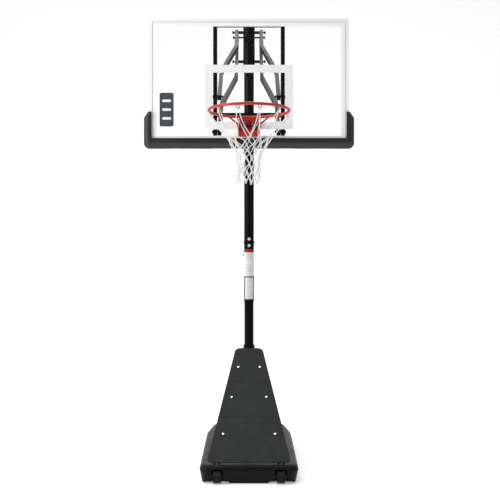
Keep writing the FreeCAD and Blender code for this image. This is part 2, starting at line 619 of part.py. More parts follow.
def board():
    """The clear sheet, its four edge rails and its two prints."""
    top = "board_bottom + board_height"
    rear = "board_front + board_depth"
    face = "board_front + sheet_setback"
    seat = "rail_face - 10"
    slot = block(f"-board_width / 2 + {seat}", f"board_width / 2 - {seat}", face, f"{face} + sheet_thick + 0.2",
                 f"board_bottom + {seat}", f"{top} - {seat}")
    half = "board_width / 2"
    between = ("board_bottom + rail_face + 0.1", f"{top} - rail_face - 0.1")
    rails = {"top": (f"-{half}", half, f"{top} - rail_face", top),
             "bottom": (f"-{half}", half, "board_bottom", "board_bottom + rail_face"),
             "left": (f"-{half}", f"-{half} + rail_face", *between),
             "right": (f"{half} - rail_face", half, *between)}
    for name, (x_from, x_to, z_from, z_to) in rails.items():
        part(f"board_rail_{name}", cut(block(x_from, x_to, "board_front", rear, z_from, z_to), slot))
    rim_holes = [round_bar("rim_bolt + hole_gap", "20", (x, "board_front - 5", z), ALONG_Y)
                 for x, z in rim_bolt_places()]
    part("board_sheet", cut(block(f"-{half} + {seat} + 0.2", f"{half} - {seat} - 0.2", f"{face} + 0.1",
                                  f"{face} + sheet_thick + 0.1", f"board_bottom + {seat} + 0.2",
                                  f"{top} - {seat} - 0.2"), *rim_holes))
    film = (f"{face} + 0.1 - print_thick", f"{face} + 0.1")
    border = frame_ring(f"{half} - rail_face - 0.3", "board_bottom + rail_face + 0.3",
                        f"{top} - rail_face - 0.3", "border_width", *film)
    target = frame_ring("target_width / 2", "target_bottom", "target_bottom + target_height",
                        "target_stripe", *film)
    for label, ring in (("border_print", border), ("target_print", target)):
        part(label, cut(ring, *(round_bar("rim_bolt + hole_gap", "20", (x, "board_front - 5", z), ALONG_Y)
                                for x, z in rim_bolt_places())))


def rear_frame():
    """The steel frame behind the sheet and the pivot bolts of the arms."""
    rear = "board_front + board_depth + 0.1"
    for side, name in ((-1, "left"), (1, "right")):
        middle = f"{side} * upright_across"
        outer = block(f"{middle} - tube_size / 2", f"{middle} + tube_size / 2", rear, f"{rear} + upright_depth",
                      "upright_bottom", "board_bottom + board_height")
        inner = block(f"{middle} - tube_size / 2 + tube_wall", f"{middle} + tube_size / 2 - tube_wall",
                      f"{rear} + tube_wall", f"{rear} + upright_depth - tube_wall", "upright_bottom - 1",
                      "board_bottom + board_height + 1")
        bores = [round_bar("pivot_bolt_radius + hole_gap", "60", (f"{middle} - 30", "board_pivot_along", height),
                           ALONG_X) for height in ("board_pivot_upper", "board_pivot_lower")]
        part(f"frame_upright_{name}", cut(outer, inner, *bores))
    reach = "upright_across - tube_size / 2 - 0.1"
    bolt_ways = [round_bar("rim_bolt + hole_gap", "60", (x, rear + " - 10", "rim_bar_height"), ALONG_Y)
                 for x in ("-rim_bolt_across", "rim_bolt_across")]
    bars = []
    for height in ("rim_bar_height", "cross_height", "board_bottom + board_height - top_bar_drop"):
        outer = block(f"-({reach})", reach, rear, f"{rear} + tube_size", f"{height} - tube_size / 2",
                      f"{height} + tube_size / 2")
        inner = block(f"-({reach}) - 1", f"{reach} + 1", f"{rear} + tube_wall", f"{rear} + tube_size - tube_wall",
                      f"{height} - tube_size / 2 + tube_wall", f"{height} + tube_size / 2 - tube_wall")
        bars.append(cut(outer, inner))
    for bar, name in zip(bars, ("lower", "middle", "top")):
        part(f"frame_crossbar_{name}", cut(bar, *bolt_ways) if name == "lower" else bar)
    bolts = []
    for level in ("upper", "lower"):
        for side in (-1, 1):
            inside = sorted((side * (size("arm_board_across") - size("arm_width") / 2 - 10),
                             side * (size("upright_across") + size("tube_size") / 2 + 7)))
            middle, reach_x = (inside[0] + inside[1]) / 2, (inside[1] - inside[0]) / 2 + 2
            bolts.append(cross_bolt("pivot_bolt_radius", str(reach_x), "board_pivot_along",
                                    f"board_pivot_{level}", across=str(middle)))
    part("board_pivot_bolts", group(*bolts))


def edge_pad():
    """The U-shaped pad over the board's lower edge and lower corners."""
    lower = block("-pad_half", "pad_half", "pad_front", "pad_rear", "pad_bottom", "pad_arm_top")
    window = block("-pad_lip", "pad_lip", "pad_front - 1", "pad_rear + 1", "pad_lip_top", "pad_arm_top + 1")
    seat = block("-board_width / 2 - 0.4", "board_width / 2 + 0.4", "board_front - 0.4",
                 "board_front + board_depth + 0.4", "board_bottom - 0.4", "pad_arm_top + 1")
    part("edge_pad", cut(lower, window, seat))


# ---- rim and net ---------------------------------------------------------------------------------

def rim_bolt_places():
    """Where the four rim bolts pass the board."""
    return [(x, z) for x in ("-rim_bolt_across", "rim_bolt_across")
            for z in ("rim_bar_height", "rim_plate_low + 16")]


def rim_bracket():
    """The rim's bracket with its hinge pin, bolts, springs and posts."""
    front = "board_front + sheet_setback"
    plate = block("-rim_plate_half", "rim_plate_half", f"{front} - 6", f"{front} - 0.3", "rim_plate_low",
                  "rim_plate_high")
    ears = [block(f"{side} * rim_ear_across - 3", f"{side} * rim_ear_across + 3", "hinge_along - 14", f"{front} - 5",
                  "hinge_height - 26", "hinge_height + 16") for side in (-1, 1)]
    shelf = block("-spring_cup_half", "spring_cup_half", "spring_along - 16", f"{front} - 5", "rim_plate_low + 2",
                  "rim_plate_low + 7")
    lip = block("-spring_cup_half", "spring_cup_half", "spring_along - 16", "spring_along - 13", "rim_plate_low - 4",
                "rim_plate_low + 32")
    pin = round_bar("hinge_radius + hole_gap", "160", ("-80", "hinge_along", "hinge_height"), ALONG_X)
    holes = [round_bar("rim_bolt + hole_gap", "20", (x, f"{front} - 10", z), ALONG_Y)
             for x, z in rim_bolt_places()]
    studs = [round_bar("spring_post + hole_gap", "20", (f"{side} * spring_across", "spring_along",
                                                        "rim_plate_low")) for side in (-1, 1)]
    part("rim_bracket", cut(fuse(plate, shelf, lip, *ears), pin, *holes, *studs))
    part("rim_hinge_pin", cross_bolt("hinge_radius", "76", "hinge_along", "hinge_height", nut=5))
    bolts = []
    for x, z in rim_bolt_places():
        length = "board_depth + tube_size + 16" if z == "rim_bar_height" else "30"
        bolts.append(fuse(round_bar("rim_bolt", length, (x, f"{front} - 10", z), ALONG_Y),
                          hex_bar("rim_bolt * 1.8", "5", (x, f"{front} - 11.1", z), ALONG_Y),
                          hex_bar("rim_bolt * 1.8", "5", (x, f"{front} - 10 + {length} - 6", z), ALONG_Y)))
    part("rim_mount_bolts", group(*bolts))
    spring_from, spring_to = size("rim_plate_low") + 7.3, size("yoke_top") - size("yoke_plate") - 0.4
    springs = [cut(round_bar("spring_radius", str(spring_to - spring_from), (
        f"{side} * spring_across", "spring_along", str(spring_from))),
        round_bar("spring_radius - 4", str(spring_to - spring_from), (
            f"{side} * spring_across", "spring_along", str(spring_from)))) for side in (-1, 1)]
    part("rim_springs", group(*springs))
    part("rim_spring_posts", group(*(round_bar("spring_post", "34", (f"{side} * spring_across", "spring_along",
                                                            "rim_plate_low - 2")) for side in (-1, 1))))


def rim():
    """The ring, its yoke and braces and the twelve net hooks."""
    ring = torus("ring_radius", "ring_rod", ("0", "rim_along", "rim_height"))
    part("rim_ring", ring)
    front = "rim_along + ring_radius"
    top = block("-yoke_half", "yoke_half", f"{front} - 12", "hinge_along + 6", "yoke_top - yoke_plate", "yoke_top")
    cheek = [("hinge_along + 12", "yoke_top"), ("hinge_along + 12", "hinge_height - 14"),
             ("hinge_along - 14", "hinge_height - 20"), (f"{front} + 6", "yoke_top - 16"),
             (f"{front} - 10", "yoke_top")]
    cheeks = [placed(extruded("YZ_Plane", [cheek], "yoke_plate", offset=(
        f"{side} * (yoke_half - yoke_plate / 2) - yoke_plate / 2")), ("0", "0", "0")) for side in (-1, 1)]
    pin = round_bar("hinge_radius + running_gap", "160", ("-80", "hinge_along", "hinge_height"), ALONG_X)
    part("rim_yoke", cut(fuse(top, *cheeks), pin, torus("ring_radius", "ring_rod", (
        "0", "rim_along", "rim_height"))))
    braces = []
    for side in (-1, 1):
        start = (f"{side} * (yoke_half + 0.1)", "hinge_along - 34", "hinge_height - 4")
        turn = math.radians(size("brace_spread"))
        end = (side * size("ring_radius") * math.sin(turn),
               size("rim_along") + size("ring_radius") * math.cos(turn),
               size("rim_height") - size("ring_rod") * 0.7)
        braces.append(cut(bar_between("brace_radius", start, tuple(str(value) for value in end)),
                          torus("ring_radius", "ring_rod", ("0", "rim_along", "rim_height")),
                          block("-yoke_half", "yoke_half", "rim_along", "hinge_along", "hinge_height - 40",
                                "yoke_top")))
    part("rim_braces", group(*braces))
    hooks = []
    for k in range(int(size("hook_count"))):
        turn = 2 * math.pi * (k + 0.5) / size("hook_count")
        at = (size("ring_radius") * math.sin(turn), size("rim_along") + size("ring_radius") * math.cos(turn),
              size("rim_height") - size("ring_rod") - 6)
        stand = Rotation(Vector(0, 0, 1), -math.degrees(turn)) * Rotation(Vector(1, 0, 0), 90)
        hooks.append(torus("hook_radius", "hook_rod", tuple(str(value) for value in at), stand))
    part("net_hooks", cut(group(*hooks), torus("ring_radius", "ring_rod + 0.02", ("0", "rim_along", "rim_height")),
                          block("-70", "70", f"{front} - 30", "hinge_along", "yoke_top - yoke_plate - 20",
                                "yoke_top + 20")))


def net():
    """The net's envelope: a thin funnel under the hooks."""
    outside = [("net_top_radius", "net_top"), ("net_waist_radius", "net_waist"), ("net_foot_radius", "net_bottom")]
    inside = [(f"{radius} - net_thick", height) for radius, height in reversed(outside)]
    body = revolved(outside + inside)
    part("net", placed(body, ("0", "rim_along", "0")))


def check_and_export():
    """Stop on any bad shape, then write every sub-part as STEP."""
    doc.recompute()
    broken = [thing.Name for thing in doc.Objects if {"Invalid", "Error"} & set(thing.State)]
    if broken:
        raise SystemExit(f"failed objects: {broken}")
    os.makedirs("parts", exist_ok=True)
    for thing in PARTS:
        if thing.Shape.isNull() or not thing.Shape.isValid() or not thing.Shape.Solids:
            raise SystemExit(f"bad shape: {thing.Label}")
        thing.Shape.exportStep(f"parts/{thing.Label}.step")
    print(len(PARTS), "sub-parts")


base_tank()
filler_cap()
wheels()
pole()
pole_foot()
struts()
cover()
pole_head()
arms()
jack()
board()
rear_frame()
edge_pad()
rim_bracket()
rim()
net()
check_and_export()
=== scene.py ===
"""Looks of a portable basketball hoop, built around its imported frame.

Every piece is in metres, +Z up, with the floor at zero and the pole's axis at the origin.
"""
from __future__ import annotations

import json
import logging
import math
import random
from dataclasses import dataclass, field
from enum import Enum

import bmesh
import bpy
from mathutils import Matrix, Vector

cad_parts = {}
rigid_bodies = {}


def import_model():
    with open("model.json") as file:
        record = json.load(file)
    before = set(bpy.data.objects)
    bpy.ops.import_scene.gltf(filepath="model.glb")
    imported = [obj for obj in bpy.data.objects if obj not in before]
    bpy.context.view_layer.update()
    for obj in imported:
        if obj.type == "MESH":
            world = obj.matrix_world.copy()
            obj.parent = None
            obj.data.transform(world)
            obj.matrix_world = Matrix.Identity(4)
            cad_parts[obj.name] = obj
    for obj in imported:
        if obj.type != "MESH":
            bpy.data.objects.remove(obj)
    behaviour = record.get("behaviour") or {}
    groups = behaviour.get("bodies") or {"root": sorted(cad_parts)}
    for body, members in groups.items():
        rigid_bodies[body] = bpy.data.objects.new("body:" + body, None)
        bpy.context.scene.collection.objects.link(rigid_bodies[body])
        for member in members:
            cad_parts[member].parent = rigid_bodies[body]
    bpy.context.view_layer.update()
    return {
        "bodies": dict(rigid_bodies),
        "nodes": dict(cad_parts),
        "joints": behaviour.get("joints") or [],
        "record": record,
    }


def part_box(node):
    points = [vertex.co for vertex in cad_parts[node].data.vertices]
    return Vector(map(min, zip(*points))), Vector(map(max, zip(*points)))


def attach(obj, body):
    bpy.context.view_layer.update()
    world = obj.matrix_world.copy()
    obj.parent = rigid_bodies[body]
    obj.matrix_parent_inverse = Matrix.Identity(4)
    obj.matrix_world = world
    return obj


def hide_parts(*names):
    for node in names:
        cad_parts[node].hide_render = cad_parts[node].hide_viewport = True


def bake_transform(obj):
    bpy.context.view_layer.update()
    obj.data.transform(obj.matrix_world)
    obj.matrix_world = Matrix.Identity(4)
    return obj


LOG = logging.getLogger("hoop")
Colour = tuple[float, float, float]
Point = tuple[float, float, float]
DUST_COLOUR: Colour = (0.42, 0.41, 0.39)


# ---- shader groups -------------------------------------------------------------------------------

@dataclass
class GroupBuilder:
    """Builds one shader node group with named sockets."""

    name: str
    tree: bpy.types.NodeTree = field(init=False)
    entry: bpy.types.Node = field(init=False)
    exit: bpy.types.Node = field(init=False)

    def __post_init__(self) -> None:
        """Make the empty group."""
        self.tree = bpy.data.node_groups.new(self.name, "ShaderNodeTree")
        self.entry = self.tree.nodes.new("NodeGroupInput")
        self.exit = self.tree.nodes.new("NodeGroupOutput")

    def socket(self, name: str, kind: str, default: float | Colour | None = None, out: bool = False) -> None:
        """Add a socket to the group's face.

        Args:
            name: The socket's name.
            kind: Float, Color or Vector.
            default: Value that an input starts from.
            out: True for an output.
        """
        made = self.tree.interface.new_socket(name=name, in_out="OUTPUT" if out else "INPUT",
                                              socket_type=f"NodeSocket{kind}")
        if default is not None:
            made.default_value = (*default, 1.0) if kind == "Color" else default

    def node(self, kind: str, **settings: object) -> bpy.types.Node:
        """Add a node.

        Args:
            kind: Node type without the ShaderNode prefix.
            settings: Attributes set on the node.

        Returns:
            The new node.
        """
        made = self.tree.nodes.new(f"ShaderNode{kind}")
        for name, value in settings.items():
            setattr(made, name, value)
        return made

    def link(self, source: bpy.types.NodeSocket, target: bpy.types.NodeSocket) -> None:
        """Join two sockets."""
        self.tree.links.new(source, target)

    def noise(self, scale: float | bpy.types.NodeSocket, detail: float, stretch: Point = (1, 1, 1)
              ) -> bpy.types.NodeSocket:
        """Noise over object coordinates.

        Args:
            scale: Noise scale, as a number or the socket that gives it.
            detail: Octaves.
            stretch: Scale of the coordinates along each axis.

        Returns:
            The noise value's socket.
        """
        place = self.node("TexCoord")
        mapping = self.node("Mapping")
        mapping.inputs["Scale"].default_value = stretch
        texture = self.node("TexNoise")
        texture.inputs["Detail"].default_value = detail
        if isinstance(scale, float):
            texture.inputs["Scale"].default_value = scale
        else:
            self.link(scale, texture.inputs["Scale"])
        self.link(place.outputs["Object"], mapping.inputs["Vector"])
        self.link(mapping.outputs["Vector"], texture.inputs["Vector"])
        return texture.outputs["Fac"]

    def math(self, how: str, first: bpy.types.NodeSocket | float, second: bpy.types.NodeSocket | float,
             third: bpy.types.NodeSocket | float | None = None) -> bpy.types.NodeSocket:
        """One Math node.

        Args:
            how: The operation's name.
            first: First value or socket.
            second: Second value or socket.
            third: Third value or socket, where the operation has one.

        Returns:
            The result's socket.
        """
        made = self.node("Math", operation=how)
        for slot, value in zip(made.inputs, (first, second, third)):
            if value is None:
                continue
            if isinstance(value, (int, float)):
                slot.default_value = value
            else:
                self.link(value, slot)
        return made.outputs[0]

    def axes(self, vector: bpy.types.NodeSocket) -> tuple[bpy.types.NodeSocket, ...]:
        """Split a vector into its three numbers.

        Args:
            vector: The vector's socket.

        Returns:
            Sockets of X, Y and Z.
        """
        made = self.node("SeparateXYZ")
        self.link(vector, made.inputs[0])
        return tuple(made.outputs)

    def scaled(self, colour: bpy.types.NodeSocket, share: bpy.types.NodeSocket) -> bpy.types.NodeSocket:
        """Lighten or darken a colour by a share.

        Args:
            colour: The colour's socket.
            share: Socket of the factor.

        Returns:
            Socket of the scaled colour.
        """
        made = self.node("VectorMath", operation="SCALE")
        self.link(colour, made.inputs[0])
        self.link(share, made.inputs["Scale"])
        return made.outputs["Vector"]

    def remap(self, value: bpy.types.NodeSocket, low: float, high: float, start: float, end: float
              ) -> bpy.types.NodeSocket:
        """Map a range onto another and clamp it.

        Args:
            value: Socket of the value.
            low: Start of the range it comes from.
            high: End of that range.
            start: Result at low.
            end: Result at high.

        Returns:
            The result's socket.
        """
        made = self.node("MapRange")
        for name, number in (("From Min", low), ("From Max", high), ("To Min", start), ("To Max", end)):
            made.inputs[name].default_value = number
        self.link(value, made.inputs["Value"])
        return made.outputs["Result"]

    def blend(self, share: bpy.types.NodeSocket, first: bpy.types.NodeSocket | Colour,
              second: bpy.types.NodeSocket | Colour) -> bpy.types.NodeSocket:
        """Mix two colours by a share.

        Args:
            share: Socket of the second colour's share.
            first: First colour or its socket.
            second: Second colour or its socket.

        Returns:
            The mixed colour's socket.
        """
        made = self.node("Mix", data_type="RGBA")
        self.link(share, made.inputs["Factor"])
        for slot, value in ((made.inputs["A"], first), (made.inputs["B"], second)):
            if isinstance(value, tuple):
                slot.default_value = (*value, 1.0)
            else:
                self.link(value, slot)
        return made.outputs["Result"]

    def bump(self, height: bpy.types.NodeSocket, depth: float | bpy.types.NodeSocket,
             strength: float = 0.6) -> bpy.types.NodeSocket:
        """Turn a height into a normal.

        Args:
            height: Socket of the height.
            depth: How deep the relief is, in metres.
            strength: How strongly it shows.

        Returns:
            The normal's socket.
        """
        made = self.node("Bump")
        made.inputs["Strength"].default_value = strength
        if isinstance(depth, float):
            made.inputs["Distance"].default_value = depth
        else:
            self.link(depth, made.inputs["Distance"])
        self.link(height, made.inputs["Height"])
        return made.outputs["Normal"]

    def result(self, **outputs: bpy.types.NodeSocket) -> bpy.types.NodeTree:
        """Wire the outputs.

        Args:
            outputs: One socket for each output's name.

        Returns:
            The finished group.
        """
        for name, source in outputs.items():
            self.link(source, self.exit.inputs[name])
        return self.tree


class EffectGroups:
    """The effects that several finishes share, each a node group built once."""

    def __init__(self) -> None:
        """Build all groups."""
        self.grain = self._grain()
        self.wear = self._wear()
        self.dust = self._dust()
        self.braid = self._braid()

    @staticmethod
    def _grain() -> bpy.types.NodeTree:
        """Fine skin of moulded or powder-coated surfaces: colour mottle, uneven gloss and grain.

        Returns:
            The group.
        """
        g = GroupBuilder("surface_grain")
        g.socket("Colour", "Color", (0.5, 0.5, 0.5))
        g.socket("Mottle", "Float", 0.1)
        g.socket("Gloss Low", "Float", 0.4)
        g.socket("Gloss High", "Float", 0.6)
        g.socket("Grain Scale", "Float", 900.0)
        g.socket("Grain Depth", "Float", 0.0003)
        g.socket("Colour", "Color", out=True)
        g.socket("Roughness", "Float", out=True)
        g.socket("Normal", "Vector", out=True)
        broad = g.noise(7.0, 5.0)
        fine = g.noise(g.entry.outputs["Grain Scale"], 2.0)
        swing = g.math("MULTIPLY_ADD", g.math("SUBTRACT", broad, 0.5), g.entry.outputs["Mottle"], 1.0)
        low, high = g.entry.outputs["Gloss Low"], g.entry.outputs["Gloss High"]
        patch = g.math("MULTIPLY_ADD", g.remap(broad, 0.3, 0.7, 0.0, 1.0), g.math("SUBTRACT", high, low), low)
        return g.result(Colour=g.scaled(g.entry.outputs["Colour"], swing), Roughness=patch,
                        Normal=g.bump(fine, g.entry.outputs["Grain Depth"]))

    @staticmethod
    def _wear() -> bpy.types.NodeTree:
        """Light scuffs: thin scratches and rubbed patches that lighten a colour and dull its gloss.

        Returns:
            The group.
        """
        g = GroupBuilder("scuff_wear")
        g.socket("Colour", "Color", (0.5, 0.5, 0.5))
        g.socket("Worn Colour", "Color", (0.3, 0.3, 0.3))
        g.socket("Roughness", "Float", 0.4)
        g.socket("Amount", "Float", 0.3)
        g.socket("Colour", "Color", out=True)
        g.socket("Roughness", "Float", out=True)
        scratches = g.remap(g.noise(60.0, 3.0, (1.0, 1.0, 14.0)), 0.66, 0.74, 0.0, 1.0)
        patches = g.remap(g.noise(9.0, 6.0), 0.52, 0.78, 0.0, 1.0)
        mask = g.math("MULTIPLY", g.math("MULTIPLY", scratches, patches), g.entry.outputs["Amount"])
        rough = g.math("MULTIPLY_ADD", mask, 0.35, g.entry.outputs["Roughness"])
        return g.result(Colour=g.blend(mask, g.entry.outputs["Colour"], g.entry.outputs["Worn Colour"]),
                        Roughness=rough)

    @staticmethod
    def _dust() -> bpy.types.NodeTree:
        """Pale dust that lies on faces that look up.

        Returns:
            The group.
        """
        g = GroupBuilder("settled_dust")
        g.socket("Colour", "Color", (0.5, 0.5, 0.5))
        g.socket("Amount", "Float", 0.2)
        g.socket("Colour", "Color", out=True)
        rise = g.axes(g.node("NewGeometry").outputs["Normal"])[2]
        upward = g.remap(rise, 0.35, 1.0, 0.0, 1.0)
        cloud = g.remap(g.noise(14.0, 6.0), 0.38, 0.68, 0.15, 1.0)
        mask = g.math("MULTIPLY", g.math("MULTIPLY", upward, cloud), g.entry.outputs["Amount"])
        return g.result(Colour=g.blend(mask, g.entry.outputs["Colour"], DUST_COLOUR))

    @staticmethod
    def _braid() -> bpy.types.NodeTree:
        """Braided cord: two crossing sets of strands over a tube's length and girth, with painted shade
        darkening the grooves between them.

        Returns:
            The group.
        """
        g = GroupBuilder("braided_cord")
        g.socket("Colour", "Color", (0.9, 0.9, 0.9))
        g.socket("Colour", "Color", out=True)
        g.socket("Normal", "Vector", out=True)
        round_cord, along_cord, _ = g.axes(g.node("UVMap", uv_map="along").outputs["UV"])
        length = g.math("MULTIPLY", along_cord, 1100.0)
        girth = g.math("MULTIPLY", round_cord, math.tau * 4)
        left = g.math("SINE", g.math("ADD", length, girth), 0.0)
        right = g.math("SINE", g.math("SUBTRACT", length, girth), 0.0)
        plait = g.math("MAXIMUM", left, right)
        # painted shade: the cord's colour darkens to 72 % in the grooves between the strands, where shade
        # falls
        painted_groove_shade = g.remap(plait, -0.6, 1.0, 0.72, 1.0)
        return g.result(Colour=g.scaled(g.entry.outputs["Colour"], painted_groove_shade), Normal=g.bump(plait, 0.0004, 0.8))

    @staticmethod
    def label_layout(low: float, high: float) -> bpy.types.NodeTree:
        """Where the pole's label carries ink: rows of broken bars, and a framed field below them.

        Args:
            low: Height of its lower edge.
            high: Height of its upper edge.

        Returns:
            The group, with the ink's share as its output.
        """
        g = GroupBuilder("label_layout")
        g.socket("Ink", "Float", out=True)
        across, depth, height = g.axes(g.node("TexCoord").outputs["Object"])
        middle, title = low + (high - low) * 0.49, low + (high - low) * 0.80
        off_centre = g.math("ABSOLUTE", across, 0.0)
        rows = g.math("LESS_THAN", g.math("FRACT", g.math("MULTIPLY", height, 90.0), 0.0), 0.42)
        bars = g.math("MULTIPLY", rows, g.math("GREATER_THAN", g.noise(190.0, 2.0, (1.0, 1.0, 0.24)), 0.47))
        bars = g.math("MULTIPLY", bars, g.math("LESS_THAN", off_centre, 0.024))
        clear_band = g.math("LESS_THAN", g.math("ABSOLUTE", g.math("SUBTRACT", height, title), 0.0), 0.012)
        bars = g.math("MULTIPLY", bars, g.math("SUBTRACT", 1.0, clear_band))
        lower = g.math("LESS_THAN", height, middle)
        sides = g.math("MULTIPLY", g.math("GREATER_THAN", off_centre, 0.031), lower)
        frame = g.math("MULTIPLY", sides, g.math("LESS_THAN", depth, 0.0))
        divider = g.math("LESS_THAN", g.math("ABSOLUTE", g.math("SUBTRACT", height, middle), 0.0), 0.004)
        ends = g.math("MAXIMUM", g.math("LESS_THAN", height, low + 0.012), divider)
        return g.result(Ink=g.math("MAXIMUM", g.math("MULTIPLY", bars, 0.42), g.math("MAXIMUM", frame, ends)))

    @staticmethod
    def painted_shadow_line(low: Point, high: Point, width: float) -> bpy.types.NodeTree:
        """A thin grey line along the outer edge of an upright rectangle: painted shadow that stands for the
        shadow line the rail's inner edge casts on the border.

        Args:
            low: Lower corner of the rectangle's box.
            high: Upper corner of the rectangle's box.
            width: The line's width.

        Returns:
            The group, with 1 on the line as its output.
        """
        g = GroupBuilder("border_painted_shadow_line")
        g.socket("Line", "Float", out=True)
        across, _, height = g.axes(g.node("TexCoord").outputs["Object"])
        # painted shade: 1 within the given width of the box's edge, where the rail's shadow line falls
        gaps = []
        for place, start, end in ((across, low[0], high[0]), (height, low[2], high[2])):
            off_centre = g.math("ABSOLUTE", g.math("SUBTRACT", place, (start + end) / 2), 0.0)
            gaps.append(g.math("SUBTRACT", (end - start) / 2, off_centre))
        return g.result(Line=g.math("LESS_THAN", g.math("MINIMUM", *gaps), width))


# ---- finishes ------------------------------------------------------------------------------------

class Skin(Enum):
    """How a finish is laid on."""

    MOULDED = "moulded plastic"
    COATED = "powder coat"
    PLATED = "plated steel"


@dataclass(frozen=True)
class Finish:
    """One grained finish and its numbers."""

    name: str
    skin: Skin
    colour: Colour
    gloss: tuple[float, float]
    mottle: float = 0.12
    grain_scale: float = 900.0
    grain_depth: float = 0.0002
    worn: Colour = (0.2, 0.2, 0.2)
    wear: float = 0.3
    dust: float = 0.02
    coat: float = 0.0
    specular: float = 0.3


TANK_PLASTIC = Finish("tank_plastic", Skin.MOULDED, (0.0042, 0.0039, 0.0037), (0.34, 0.48), 0.3, 1400.0,
                      0.0003, (0.03, 0.028, 0.027), 0.3, 0.02, specular=0.10)
COVER_PLASTIC = Finish("cover_plastic", Skin.MOULDED, (0.0150, 0.0165, 0.0165), (0.55, 0.68), 0.10, 1600.0,
                       0.0003, (0.06, 0.06, 0.06), 0.15, 0.02, specular=0.12)
CAP_PLASTIC = Finish("cap_plastic", Skin.MOULDED, (0.010, 0.010, 0.011), (0.34, 0.5), 0.2, 1200.0, 0.0003)
WHEEL_PLASTIC = Finish("wheel_plastic", Skin.MOULDED, (0.005, 0.005, 0.005), (0.36, 0.5), 0.25, 1000.0,
                       0.0003, (0.05, 0.05, 0.05), 0.5, 0.03, specular=0.12)
PAD_FOAM = Finish("pad_foam", Skin.MOULDED, (0.0105, 0.0110, 0.0120), (0.34, 0.48), 0.18, 700.0, 0.0005,
                  (0.04, 0.04, 0.04), 0.2, 0.02, specular=0.42)
BLACK_COAT = Finish("black_powder_coat", Skin.COATED, (0.0028, 0.0028, 0.0031), (0.24, 0.36), 0.15, 2200.0,
                    0.00003, (0.02, 0.02, 0.02), 0.15, 0.01, specular=0.06)
RED_COAT = Finish("red_powder_coat", Skin.COATED, (0.40, 0.022, 0.010), (0.2, 0.34), 0.12, 1800.0, 0.00015,
                  (0.22, 0.02, 0.01), 0.35, 0.01, 0.1)
RED_FILM = Finish("red_band_film", Skin.COATED, (0.40, 0.008, 0.008), (0.2, 0.3), 0.06, 1500.0, 0.0001)
ZINC = Finish("zinc_plate", Skin.PLATED, (0.86, 0.86, 0.87), (0.2, 0.38), 0.15, 1300.0, 0.00012)
BLACK_ZINC = Finish("black_zinc", Skin.PLATED, (0.028, 0.028, 0.030), (0.28, 0.45), 0.2, 1300.0, 0.00012)
SPRING_STEEL = Finish("spring_steel", Skin.PLATED, (0.42, 0.42, 0.43), (0.25, 0.4), 0.2, 1300.0, 0.0001)
RAIL_METAL = Finish("rail_anodised", Skin.COATED, (0.80, 0.81, 0.82), (0.3, 0.45), 0.04, 1600.0, 0.0001)
PRINT_WHITE = Finish("screen_print", Skin.COATED, (0.80, 0.81, 0.82), (0.22, 0.32), 0.04, 2500.0, 0.00005)
BADGE_SLATE = Finish("badge_slate", Skin.COATED, (0.050, 0.060, 0.085), (0.25, 0.35), 0.05, 2500.0, 0.00003,
                     (0.2, 0.2, 0.3), 0.1, 0.0)
BADGE_PALE = Finish("badge_pale", Skin.COATED, (0.82, 0.83, 0.85), (0.25, 0.35), 0.03, 2500.0, 0.00003,
                    (0.6, 0.6, 0.6), 0.1, 0.0)

SLOT_FINISHES = {
    "tank": TANK_PLASTIC, "cap": CAP_PLASTIC, "wheel": WHEEL_PLASTIC, "powder_black": BLACK_COAT,
    "zinc": ZINC, "black_hardware": BLACK_ZINC, "cover": COVER_PLASTIC, "red_band": RED_FILM,
    "edge_rail": RAIL_METAL, "print": PRINT_WHITE, "pad": PAD_FOAM, "rim_red": RED_COAT,
    "spring_steel": SPRING_STEEL, "knob": CAP_PLASTIC,
}


